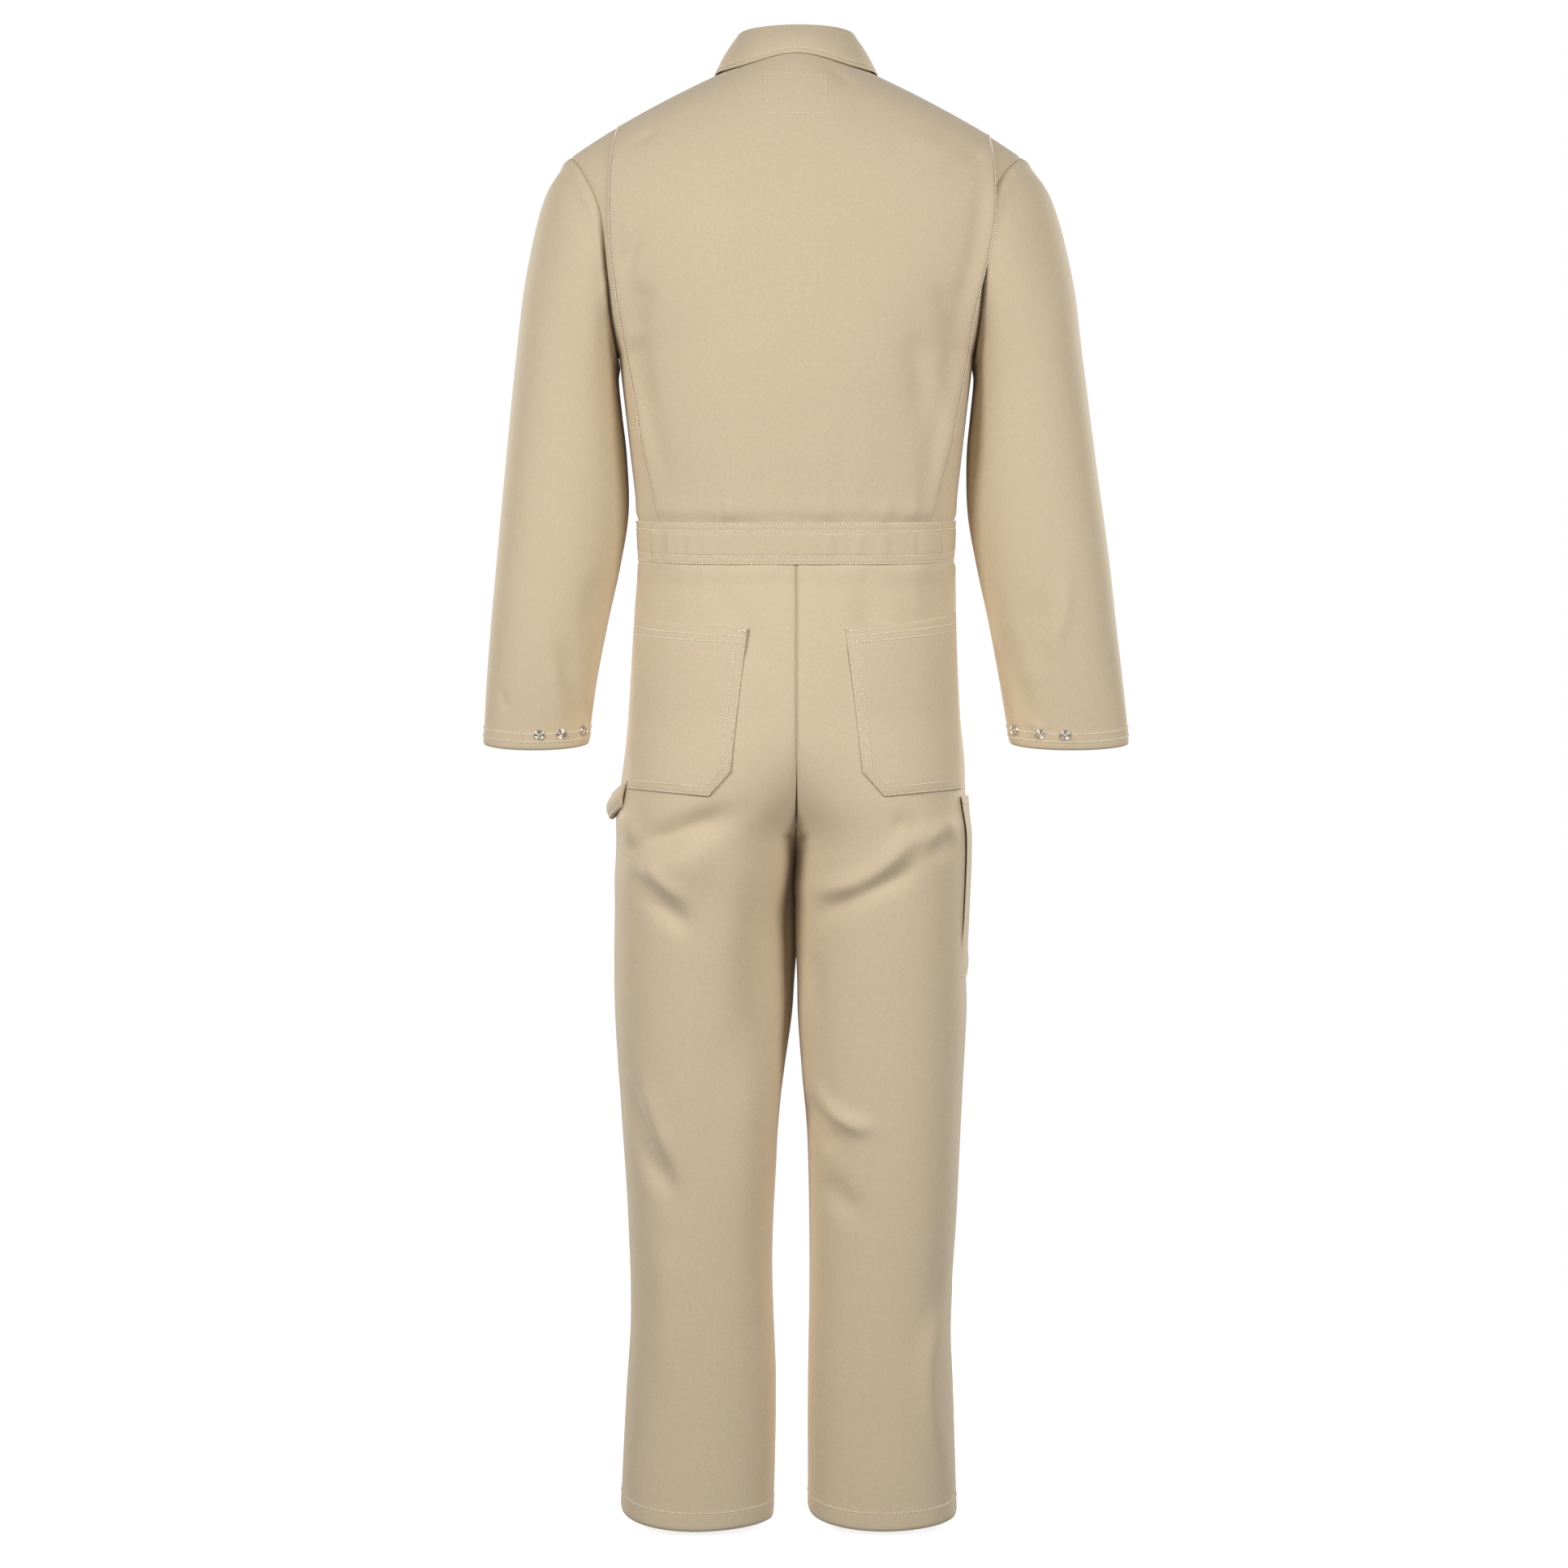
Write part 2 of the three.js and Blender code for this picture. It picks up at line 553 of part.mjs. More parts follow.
function makeBackPockets() {
  const topZ = WAIST_LOW - BACK_POCKET_DROP;
  const lift = CLOTH + LAYER + FACET;
  const innerX = 52;
  const outerX = innerX + BACK_POCKET_WIDTH;
  for (const side of [LEFT, RIGHT]) {
    const outerRise = side === LEFT ? 2 : 7;
    const hipGrowth = side === LEFT ? 9 : 5;
    const mouth = [[innerX, topZ - 7, 0], [outerX, topZ + outerRise, 1]];
    const base = [
      [innerX + 18, topZ - BACK_POCKET_HEIGHT + 22, 0],
      [innerX + 42, topZ - BACK_POCKET_HEIGHT - 5, 0.2],
      [outerX + hipGrowth, topZ - BACK_POCKET_HEIGHT + 3, 1],
    ];
    const columns = [0, 0.1, 0.2, 0.4, 0.58, 0.74, 0.86, 0.94, 1];
    trouserPatch(`back_pocket_${sideName(side)}`, BACK, side, mouth, base, lift, columns, 5);
  }
}

// A strip wrapped round the side seam, from the back (turn > 0) to the front (turn < 0), in radians.
function wrapPoint(side, turn, z, lift) {
  const { centre, half } = legOval(side, z);
  const face = turn >= 0 ? BACK : FRONT;
  const section = (angle) => {
    const x = centre + half * Math.abs(Math.cos(angle)) ** (2 / LEG_ROUND);
    const depth = trouserDepth[face](z) + SEAM / 2;
    return new THREE.Vector3(side * (x + SEAM / 2), depth * Math.sign(angle) * Math.abs(Math.sin(angle)) ** (2 / LEG_ROUND), z);
  };
  const point = section(turn);
  const outward = new THREE.Vector3(side * Math.cos(turn) / half, Math.sin(turn) / trouserDepth[face](z), 0);
  return point.addScaledVector(outward.normalize(), lift);
}

function makeSidePieces() {
  const sewnOn = CLOTH + LAYER + FACET;
  const rulerTop = WAIST_LOW - BACK_POCKET_DROP - BACK_POCKET_HEIGHT - 4;
  const ruler = (u, v) => wrapPoint(RIGHT, mix(0.5, -0.62, u), mix(rulerTop - 200, rulerTop, v), sewnOn);
  const rulerShell = shell(ruler, legCore(RIGHT), steps(9), steps(4), { flatFirst: up, flatLast: up });
  addPart("ruler_pocket", rulerShell, twill());
  const loopSlack = 13;
  const loop = (u, v) => {
    const sag = Math.sin(u * Math.PI);
    const z = mix(rulerTop - 22, rulerTop + 10, v) - 6 * sag;
    return wrapPoint(LEFT, mix(0.42, -0.5, u), z, CLOTH + LAYER + loopSlack * sag);
  };
  addPart("hammer_loop", shell(loop, legCore(LEFT), steps(10), steps(1)), twill());
}

function makeHandPocketBags() {
  const depth = -(CLOTH + HANG);
  const mouthZ = WAIST_LOW - 12;
  for (const side of [LEFT, RIGHT]) {
    const top = [[60, mouthZ, 0], [150, mouthZ, 1]];
    const base = [[70, mouthZ - 225, 0], [160, mouthZ - 225, 1]];
    trouserPatch(`hand_pocket_bag_${sideName(side)}`, FRONT, side, top, base, depth, steps(4), 4);
  }
}

// ---- Sleeves ------------------------------------------------------------------------------------
// Stations down the sleeve: share of its length, the outer edge's distance out from the shoulder tip
// and drop below it, the inner edge's distance in from the shoulder tip and drop, and half its depth.
const sleeveStations = {
  [LEFT]: [
    [0.0, 0, 0, -53, 224, ARMHOLE_HALF_DEPTH],
    [0.1, 28, 46, -54, 250, 74],
    [0.22, 48, 132, -58, 287, 76],
    [0.36, 59, 222, -63, 332, 74],
    [0.5, 69.5, 327, -65, 392, 70],
    [0.66, 80, 437, -56, 452, 64],
    [0.8, 88, 522, -41, 522, 56],
    [0.9, 93, 587, -29, 587, 46],
    [1.0, 96.5, 650, -21, 650, 33],
  ],
  [RIGHT]: [
    [0.0, 0, 0, -53, 224, ARMHOLE_HALF_DEPTH],
    [0.1, 32, 46, -54, 250, 74],
    [0.22, 55, 132, -58, 287, 76],
    [0.36, 67, 222, -62, 332, 74],
    [0.5, 81, 327, -61, 392, 70],
    [0.66, 96, 437, -51, 452, 64],
    [0.8, 105, 522, -36, 522, 56],
    [0.9, 112, 587, -24, 587, 46],
    [1.0, 118.5, 650, -14, 650, 33],
  ],
};
const STATION_DROP = 650;     // drop at which the stations' last line lies
const STATION_ARMHOLE = 224;  // and the armhole that the first line was set out for
const STATION_INSET = 53;
const armholeNormal = new THREE.Vector3(ARMHOLE, 0, CHEST_HALF - SHOULDER_HALF).normalize();

function sleeveCurves(side) {
  const column = (index) => profile(sleeveStations[side].map((station) => [station[0], station[index]]));
  const stretch = SLEEVE / STATION_DROP;
  const [outerOut, outerDrop, innerOut, innerDrop, depth] = [1, 2, 3, 4, 5].map(column);
  return (v) => {
    const nearArmhole = Math.max(0, 1 - v / 0.5) ** 2;
    const armholeChange = (ARMHOLE - STATION_ARMHOLE) * nearArmhole;
    const insetChange = (STATION_INSET - (SHOULDER_HALF - CHEST_HALF)) * nearArmhole;
    const stretchHere = mix(1, stretch, v);
    return {
      outer: new THREE.Vector2(SHOULDER_HALF + outerOut(v), TIP_Z - outerDrop(v) * stretchHere),
      inner: new THREE.Vector2(
        SHOULDER_HALF + innerOut(v) + insetChange,
        TIP_Z - innerDrop(v) * stretchHere - armholeChange,
      ),
      depth: depth(v),
      tilt: CUFF_TILT * clamp((v - 0.5) / 0.5, 0, 1),
    };
  };
}

function sleevePoint(side, turn, v) {
  const { outer, inner, depth, tilt } = sleeveCurves(side)(v);
  const centre = outer.clone().add(inner).multiplyScalar(0.5);
  const reach = outer.clone().sub(inner).multiplyScalar(0.5);
  const x = centre.x + reach.x * Math.cos(turn);
  const y = depth * Math.sin(turn);
  const z = centre.y + reach.y * Math.cos(turn) - tilt * y;
  const seam = 1.5 * SEAM;
  return new THREE.Vector3(side * (x + armholeNormal.x * seam), y, z + armholeNormal.z * seam);
}

const SLEEVE_SNAP_TURNS = [95, 118, 152];
const SNAP_ABOVE_HEM = 9.5;

function snapGeometry() {
  const profilePoints = [[0, 0], [SNAP_RADIUS, 0], [SNAP_RADIUS, 1], [SNAP_RADIUS - 1.3, 1.9],
    [SNAP_RADIUS - 2.8, 1.2], [1.6, 1.2], [0, 1]];
  return new THREE.LatheGeometry(profilePoints.map(([r, h]) => new THREE.Vector2(r, h)), 12);
}

function placeSnap(name, point, normal, material) {
  const snap = addPart(name, snapGeometry(), material);
  snap.quaternion.setFromUnitVectors(new THREE.Vector3(0, 1, 0), normal);
  snap.position.copy(point).addScaledVector(normal, LAYER);
}

function makeSleeve(side) {
  const rows = sleeveStations[side].map((station) => station[0]);
  const around = steps(22).slice(0, -1);
  const at = (u, v) => sleevePoint(side, u * 2 * Math.PI, v);
  const core = (point) => {
    const v = clamp((TIP_Z - ARMHOLE / 2 - point.z) / (SLEEVE - ARMHOLE / 2), 0, 1);
    const { outer, inner } = sleeveCurves(side)(v);
    return new THREE.Vector3(side * (outer.x + inner.x) / 2, 0, (outer.y + inner.y) / 2);
  };
  const flatFirst = armholeNormal.clone();
  flatFirst.x *= side;
  const flatLast = new THREE.Vector3(0, CUFF_TILT, 1).normalize();
  const geometry = shell(at, core, around, rows, { closed: true, flatFirst, flatLast });
  addPart(`sleeve_${sideName(side)}`, geometry, twill());
  const v = 1 - SNAP_ABOVE_HEM / (SLEEVE * 0.5);
  SLEEVE_SNAP_TURNS.forEach((degrees, index) => {
    const turn = degrees * Math.PI / 180;
    const point = sleevePoint(side, turn, v);
    const alongTurn = sleevePoint(side, turn + 0.01, v).sub(point);
    const alongSleeve = sleevePoint(side, turn, v - 0.01).sub(point);
    const normal = alongTurn.cross(alongSleeve).normalize();
    if (normal.y < 0) normal.negate();
    placeSnap(`cuff_snap_${sideName(side)}_${index + 1}`, point, normal, nickel());
  });
}

// ---- Collar -------------------------------------------------------------------------------------
// A turn of 0 is the centre back and pi the centre front, on either side.
const collarFrontTurn = Math.PI - Math.asin((FLY_EDGE + 1) / NECK_HALF);

function neckSeam(turn) {
  const x = NECK_HALF * Math.sin(turn);
  if (turn <= Math.PI / 2) return bodyPoint(BACK, x, backNeckZ(x, NECK_HALF, NECK_BACK));
  return bodyPoint(FRONT, x, frontNeckZ(x));
}

function foldLine(turn) {
  const ahead = clamp((turn - Math.PI / 2) / (Math.PI / 2), 0, 1);
  const rise = mix(COLLAR_HEIGHT, COLLAR_FRONT_RISE - NECK_DROP, ahead ** 1.5);
  const depth = turn <= Math.PI / 2 ? COLLAR_BACK : FRONT_DEPTH;
  const narrow = mix(COLLAR_HALF, NECK_HALF, ahead ** 3);
  return new THREE.Vector3(narrow * Math.sin(turn), depth * Math.cos(turn), NECK_Z + rise);
}

function leafEdge(turn) {
  const backLift = PLEAT_LIFT + CLOTH + FACET;
  if (turn <= Math.PI / 2) {
    const x = (NECK_HALF + 5) * Math.sin(turn);
    return liftedBodyPoint(BACK, x, backNeckZ(x, NECK_HALF + 5, NECK_BACK + 14) - 0.01, backLift);
  }
  const ahead = (turn - Math.PI / 2) / (collarFrontTurn - Math.PI / 2);
  const x = NECK_HALF + 5 + 10 * Math.sin(ahead * Math.PI) - (NECK_HALF + 5 - COLLAR_SPREAD) * ahead ** 2;
  const start = shoulderLine(NECK_HALF + 5);
  const z = Math.min(mix(start, NECK_Z - COLLAR_POINT_DROP, ahead ** 1.15), shoulderLine(x)) - 0.01;
  return liftedBodyPoint(FRONT, x, z, mix(backLift, CLOTH + 2 * FACET, ahead));
}

const collarCore = (point) => new THREE.Vector3(point.x * 0.4, point.y * 0.4, point.z - 30);

function makeCollar() {
  const around = (u) => {
    const turn = (u - 0.5) * 2;
    return { side: turn < 0 ? RIGHT : LEFT, turn: Math.abs(turn) * collarFrontTurn };
  };
  const stand = (u, v) => {
    const { side, turn } = around(u);
    const seam = neckSeam(turn);
    const fold = foldLine(turn);
    const inset = PLEAT_LIFT + 1;
    fold.x -= inset * Math.sin(turn);
    fold.y -= inset * Math.cos(turn);
    fold.z -= inset;
    const foot = seam.z + PLEAT_LIFT + 2 * FACET + SEAM;
    const point = seam.lerp(fold, v);
    point.z = Math.max(point.z, mix(foot, point.z, v));
    point.x *= side;
    return point;
  };
  addPart("collar_stand", shell(stand, collarCore, steps(24), steps(2)), twill());
  const leaf = (u, v) => {
    const { side, turn } = around(u);
    const roll = Math.sin(v * Math.PI);
    const point = foldLine(turn).lerp(leafEdge(turn), v);
    point.x += 4 * roll * Math.sin(turn);
    point.y += 4 * roll * Math.cos(turn);
    point.z += 1.5 * roll;
    point.x *= side;
    return point;
  };
  addPart("collar_leaf", shell(leaf, collarCore, steps(28), steps(3)), twill());
}

function makeNeckLabel() {
  const top = backNeckZ(0, NECK_HALF, NECK_BACK) - 16;
  const at = (u, v) => {
    const x = mix(-LABEL_WIDTH / 2, LABEL_WIDTH / 2, u);
    const z = mix(top - LABEL_HEIGHT, top, v);
    return liftedBodyPoint(BACK, x, z, PLEAT_LIFT - CLOTH - HANG);
  };
  addPart("neck_label", shell(at, bodyCore, steps(4), steps(3), { thickness: 0.8 }), label());
}

// ---- Zip ----------------------------------------------------------------------------------------
const FRONT_FACE = -FRONT_DEPTH;                     // outer face of the cloth beside the zip
const CHAIN_FRONT = FRONT_FACE + 1.1;
const CHAIN_BACK = CHAIN_FRONT + CHAIN_DEPTH;
const TAPE_INNER = CHAIN_GAP / 2 + CHAIN_WIDTH + SEAM;
const TAPE_OUTER = TAPE_INNER + TAPE_WIDTH;
const TAPE_FRONT = bodyY(FRONT, TAPE_OUTER, ZIP_TOP) + CLOTH + LAYER;
const SLIDER_CLEARANCE = 0.5;
const SLIDER_FRONT = CHAIN_FRONT - SLIDER_CLEARANCE - SLIDER_PLATE;
const BAIL_REACH = 4.2;
const BAIL_WALL = 1.3;
const BAIL_WIDTH = 1.8;
const PULL_AXIS_Y = SLIDER_FRONT - BAIL_REACH + BAIL_WALL + 1.3;

function makeZip() {
  for (const side of [LEFT, RIGHT]) {
    const word = sideName(side);
    const inner = CHAIN_GAP / 2;
    const chain = [side * inner, side * (inner + CHAIN_WIDTH)].sort((a, b) => a - b);
    const tape = [side * TAPE_INNER, side * TAPE_OUTER].sort((a, b) => a - b);
    addPart(`zip_chain_${word}`, block(...chain, CHAIN_FRONT, CHAIN_BACK, ZIP_LOW, ZIP_TOP), brass());
    addPart(`zip_tape_${word}`, block(...tape, TAPE_FRONT, TAPE_FRONT + TAPE_THICK, ZIP_LOW, ZIP_TOP), tapeCloth());
  }
  const stopHalf = CHAIN_GAP / 2 + CHAIN_WIDTH;
  addPart("zip_bottom_stop",
    block(-stopHalf, stopHalf, CHAIN_FRONT, CHAIN_BACK, ZIP_LOW - SEAM - 4, ZIP_LOW - SEAM), brass());
}

// Two plates joined by a thin web that runs between the rows of teeth, with a bail on the front.
function sliderGeometry(bottomZ) {
  const half = SLIDER_WIDTH / 2;
  const web = CHAIN_GAP / 2 - 0.3;
  const backPlate = CHAIN_BACK + SLIDER_CLEARANCE;
  const topZ = bottomZ + SLIDER_LENGTH;
  const middle = (bottomZ + topZ) / 2;
  let body = solidOf(block(-half, half, SLIDER_FRONT, SLIDER_FRONT + SLIDER_PLATE, bottomZ, topZ));
  body = body.add(solidOf(block(-half, half, backPlate, backPlate + SLIDER_PLATE, bottomZ, topZ)));
  body = body.add(solidOf(block(-web, web, SLIDER_FRONT + 0.5, backPlate + 0.5, bottomZ + 1, topZ - 1)));
  const reach = SLIDER_FRONT - BAIL_REACH;
  const bail = [middle - 4.5, middle + 4.5];
  body = body.add(solidOf(block(-BAIL_WIDTH / 2, BAIL_WIDTH / 2, reach, SLIDER_FRONT + 0.5, ...bail)));
  const window = block(-BAIL_WIDTH, BAIL_WIDTH, reach + BAIL_WALL, SLIDER_FRONT, bail[0] + 1.3, bail[1] - 1.3);
  return geometryOf(body.subtract(solidOf(window)));
}

// A flat tab with a slot, hanging on the bail by the thin bar above the slot.
function pullGeometry(axisZ) {
  const bar = 0.6;
  const y = [PULL_AXIS_Y - bar, PULL_AXIS_Y + bar];
  const half = PULL_WIDTH / 2;
  const slotHalf = BAIL_WIDTH / 2 + 0.6;
  const slotLow = axisZ - 9;
  const tab = solidOf(block(-half, half, ...y, axisZ - PULL_LENGTH, axisZ + bar));
  const slot = solidOf(block(-slotHalf, slotHalf, y[0] - 1, y[1] + 1, slotLow, axisZ - bar));
  const hole = new THREE.CylinderGeometry(1.8, 1.8, 4, 16);
  hole.translate(0, PULL_AXIS_Y, axisZ - PULL_LENGTH + 5);
  return geometryOf(tab.subtract(slot).subtract(solidOf(hole)));
}

function makeSlider(word, bottomZ) {
  addPart(`zip_slider_${word}`, sliderGeometry(bottomZ), brass());
  const bailLow = bottomZ + SLIDER_LENGTH / 2 - 4.5 + 1.3;
  addPart(`zip_pull_${word}`, pullGeometry(bailLow + 0.9), brass());
}

// ---- Chest pockets ------------------------------------------------------------------------------
const POCKET_TOP = TIP_Z - 98;

function makeChestPocket(side) {
  const low = POCKET_TOP - CHEST_POCKET_HEIGHT;
  const word = sideName(side);
  const half = CHEST_POCKET_WIDTH / 2;
  const pocketLift = CLOTH + LAYER + FACET;
  const pocket = (u, v) => {
    const x = side * mix(CHEST_POCKET_CENTRE - half, CHEST_POCKET_CENTRE + half, u);
    return liftedBodyPoint(FRONT, x, mix(low, POCKET_TOP, v), pocketLift);
  };
  addPart(`chest_pocket_${word}`, shell(pocket, bodyCore, steps(8), steps(4)), twill());

  // The flap is a flat plate that stands on the tangent of the chest at the pocket's middle.
  const flapTop = POCKET_TOP + 12;
  const middle = bodyPoint(FRONT, side * CHEST_POCKET_CENTRE, flapTop);
  const normal = bodyNormal(FRONT, side * CHEST_POCKET_CENTRE, flapTop);
  normal.z = 0;
  normal.normalize();
  const along = new THREE.Vector3(-normal.y, normal.x, 0).multiplyScalar(FLAP_WIDTH / 2);
  const foot = middle.addScaledVector(normal, pocketLift + LAYER + CLOTH);
  const flap = (u, v) => {
    const drop = FLAP_HEIGHT - 9 * Math.abs(2 * u - 1);
    return foot.clone().addScaledVector(along, 2 * u - 1).addScaledVector(up, -drop * (1 - v));
  };
  const behind = (point) => point.clone().addScaledVector(normal, -50);
  const flatPlate = { flatFirst: up, flatLast: up };
  addPart(`chest_flap_${word}`, shell(flap, behind, steps(2), steps(1), flatPlate), twill());
  const snapAt = foot.clone().addScaledVector(up, -FLAP_HEIGHT + 14);
  placeSnap(`chest_flap_snap_${word}`, snapAt, normal, nickel());
}

// ---- The whole coverall -------------------------------------------------------------------------
makeBackPanel();
for (const side of [LEFT, RIGHT]) {
  makeBackSide(side);
  makeFrontPanel(side);
  makeSleeve(side);
  makeChestPocket(side);
}
makeCollar();
makeNeckLabel();
makeWaistband();
makeTrousers();
makeBackPockets();
makeSidePieces();
makeHandPocketBags();
makeZip();
makeSlider("top", ZIP_TOP - SLIDER_LENGTH - 2);
makeSlider("bottom", ZIP_LOW + 2);

coverall.position.z = -NECK_Z;

export default coverall;
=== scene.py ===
"""Zip-front work coverall in khaki poly-cotton twill, hanging filled out as if worn.

The cloth is built in the packed model's frame: +Z up, +X the wearer's left, +Y the wearer's back.
Shapes are worked out in millimetres above the trouser hem, and place() turns them into the frame.
"""
import json
import math

import bmesh
import bpy
import numpy as np
from bpy.props import FloatProperty, FloatVectorProperty, PointerProperty
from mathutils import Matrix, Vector

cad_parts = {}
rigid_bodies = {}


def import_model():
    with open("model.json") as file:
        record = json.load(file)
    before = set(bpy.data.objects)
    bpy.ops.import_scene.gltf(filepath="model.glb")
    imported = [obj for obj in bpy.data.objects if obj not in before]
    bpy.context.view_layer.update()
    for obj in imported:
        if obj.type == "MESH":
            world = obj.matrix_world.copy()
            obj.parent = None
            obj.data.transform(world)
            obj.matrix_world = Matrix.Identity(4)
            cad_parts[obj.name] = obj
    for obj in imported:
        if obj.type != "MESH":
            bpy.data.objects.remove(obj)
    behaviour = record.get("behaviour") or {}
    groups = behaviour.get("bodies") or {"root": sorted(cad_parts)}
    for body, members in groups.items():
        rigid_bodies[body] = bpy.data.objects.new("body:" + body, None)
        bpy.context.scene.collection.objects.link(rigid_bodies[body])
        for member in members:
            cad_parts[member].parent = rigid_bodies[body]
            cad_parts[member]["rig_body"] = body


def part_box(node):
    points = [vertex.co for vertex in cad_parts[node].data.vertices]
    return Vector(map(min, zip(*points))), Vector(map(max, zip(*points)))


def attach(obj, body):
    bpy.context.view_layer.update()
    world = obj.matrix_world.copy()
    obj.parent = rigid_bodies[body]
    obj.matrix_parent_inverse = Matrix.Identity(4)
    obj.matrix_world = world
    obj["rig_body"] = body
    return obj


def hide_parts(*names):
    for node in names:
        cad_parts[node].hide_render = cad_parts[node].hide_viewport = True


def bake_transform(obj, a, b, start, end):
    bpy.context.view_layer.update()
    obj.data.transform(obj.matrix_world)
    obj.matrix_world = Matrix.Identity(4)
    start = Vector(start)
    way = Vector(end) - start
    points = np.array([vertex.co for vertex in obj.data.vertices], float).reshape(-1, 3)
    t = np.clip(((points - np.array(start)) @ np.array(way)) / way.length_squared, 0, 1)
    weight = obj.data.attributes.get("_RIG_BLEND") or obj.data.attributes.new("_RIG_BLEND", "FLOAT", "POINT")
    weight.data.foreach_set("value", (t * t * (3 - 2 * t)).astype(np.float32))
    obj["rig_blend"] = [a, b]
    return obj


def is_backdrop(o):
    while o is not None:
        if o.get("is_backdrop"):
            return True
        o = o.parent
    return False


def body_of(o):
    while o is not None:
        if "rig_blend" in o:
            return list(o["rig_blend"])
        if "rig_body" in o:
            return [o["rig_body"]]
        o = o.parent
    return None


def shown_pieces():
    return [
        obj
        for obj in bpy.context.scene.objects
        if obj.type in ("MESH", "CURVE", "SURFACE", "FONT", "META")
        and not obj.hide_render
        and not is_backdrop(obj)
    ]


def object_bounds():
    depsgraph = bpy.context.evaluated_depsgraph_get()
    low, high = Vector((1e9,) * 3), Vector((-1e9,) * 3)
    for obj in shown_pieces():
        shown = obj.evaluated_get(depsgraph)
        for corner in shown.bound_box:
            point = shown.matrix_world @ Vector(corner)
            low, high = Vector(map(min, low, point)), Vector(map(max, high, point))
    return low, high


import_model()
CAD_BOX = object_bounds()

bl_info = {
    "name": "Work coverall",
    "version": (1, 0, 0),
    "blender": (4, 5, 0),
    "location": "3D view > Sidebar > Coverall",
    "description": "Builds a zip-front work coverall, piece by piece",
    "category": "Add Mesh",
}

LEFT, RIGHT = 1, -1
BACK, FRONT = 1, -1
SIDES = ((LEFT, "left"), (RIGHT, "right"))

# ---- Sizes in millimetres, as cut ---------------------------------------------------------------
INSEAM, RISE, WAISTBAND, BODICE = 758, 306, 45, 495
SHOULDER_DROP, SHOULDER_HALF, ARMHOLE, ARMHOLE_HALF_DEPTH = 92, 251, 224, 68
CHEST_HALF, WAIST_HALF, BACK_DEPTH, FRONT_DEPTH = 198, 175, 128, 112
SHOULDER_ROUND, NECK_HALF, NECK_BACK, NECK_DROP = 150, 84, 52, 44
CUFF_TILT, SEAT_CURVE = 0.27, 122
SEAM, BODY_ROUND, LEG_ROUND = 0.4, 2.4, 2.15
COLLAR_HEIGHT, COLLAR_HALF, COLLAR_BACK, COLLAR_FRONT_RISE = 45, 64, 46, 23
COLLAR_SPREAD, COLLAR_POINT_DROP = 62, 92
ZIP_GAP, ZIP_TOP_DROP, ZIP_ABOVE_SEAT = 18, 4, 26
CLOTH = 1.2                   # one layer of twill as it is drawn; a real one is about 0.5
PATCH_LIFT = 3.2              # outer face of a sewn-on pocket above the cloth that it lies on
PLEAT_LIFT = 2.5              # outer face of the back above the side panels
UNDER_BAND = 5.0              # how far the panels run under the waistband
WAIST_BOW = 13.0              # how much lower the waist hangs at the middle of the back
HEM = 20                      # turned hem of the trousers, and the row of stitches that holds it
CUFF_ROWS = (9.5, 18.5)       # rows of stitches round a cuff, from its edge
POCKET_ROWS = (2.0, 10.0)     # rows round a back pocket, from its edge
CHEST_ROWS = (2.0, 8.0)       # rows round a chest pocket, a flap and beside the zip's fly
BAND_ROWS = (1.5, 9.5)        # rows along each edge of the waistband
COLLAR_ROW = 6                # row round the collar's leaf
POCKET_BELOW_BAND = 64        # mouth of the back pockets
TOOL_POCKET_DROP = 261        # top of the tool pocket and the loop, below the waistband
CHEST_POCKET_X = (55, 155)
CHEST_POCKET_DROP, CHEST_POCKET_DEPTH = 98, 122
FLAP_DROP, FLAP_HALF, FLAP_DEPTH, FLAP_STAND, FLAP_SNAP_DROP = 86, 53, 46, 2.5, 32.0
CUFF_SNAPS, SNAP_CLEARANCE = 3, 0.1
BEND_REACH, BEND_START = 0.115, 0.004   # metres past the armhole in which a sleeve takes up its own motion

SEAT_Z = INSEAM + SEAT_CURVE
WAIST_LOW = INSEAM + RISE
WAIST_TOP = WAIST_LOW + WAISTBAND
NECK_Z = WAIST_TOP + BODICE
TIP_Z = NECK_Z - SHOULDER_DROP
UNDERARM_Z = TIP_Z - ARMHOLE
FLY_EDGE = ZIP_GAP / 2
ZIP_TOP = NECK_Z - NECK_DROP - ZIP_TOP_DROP
ZIP_LOW = SEAT_Z + ZIP_ABOVE_SEAT
FLY_LOW = ZIP_LOW - 8


# ---- Small mathematics --------------------------------------------------------------------------
def mix(a, b, t):
    return a + (b - a) * t


def smooth(t):
    t = np.clip(t, 0, 1)
    return t * t * (3 - 2 * t)


def bell(distance, width):
    """1 at no distance, and fading to both sides of it."""
    return np.exp(-(distance / width) ** 2)


def rounded(share, power):
    """Height at a share of the half width of an oval whose corners are squared by power."""
    return (1 - share ** power) ** (1 / power)


def profile(stations):
    """Smooth curve through (position, value) stations, level beyond both ends."""
    at = np.array([s[0] for s in stations], float)
    values = np.array([s[1] for s in stations], float)
    last = len(at) - 1
    before, after = np.maximum(np.arange(last + 1) - 1, 0), np.minimum(np.arange(last + 1) + 1, last)
    slopes = (values[after] - values[before]) / (at[after] - at[before])

    def curve(position):
        p = np.clip(np.asarray(position, float), at[0], at[-1])
        i = np.clip(np.searchsorted(at, p, side="right") - 1, 0, last - 1)
        width = at[i + 1] - at[i]
        t = (p - at[i]) / width
        bend = slopes[i] * width * t * (1 - t) ** 2 - slopes[i + 1] * width * t * t * (1 - t)
        return mix(values[i], values[i + 1], t * t * (3 - 2 * t)) + bend
    return curve


def vec(x, y, z):
    x, y, z = np.broadcast_arrays(x, y, z)
    return np.stack([x, y, z], axis=-1).astype(float)


def unit(v):
    return v / np.maximum(np.linalg.norm(v, axis=-1, keepdims=True), 1e-9)


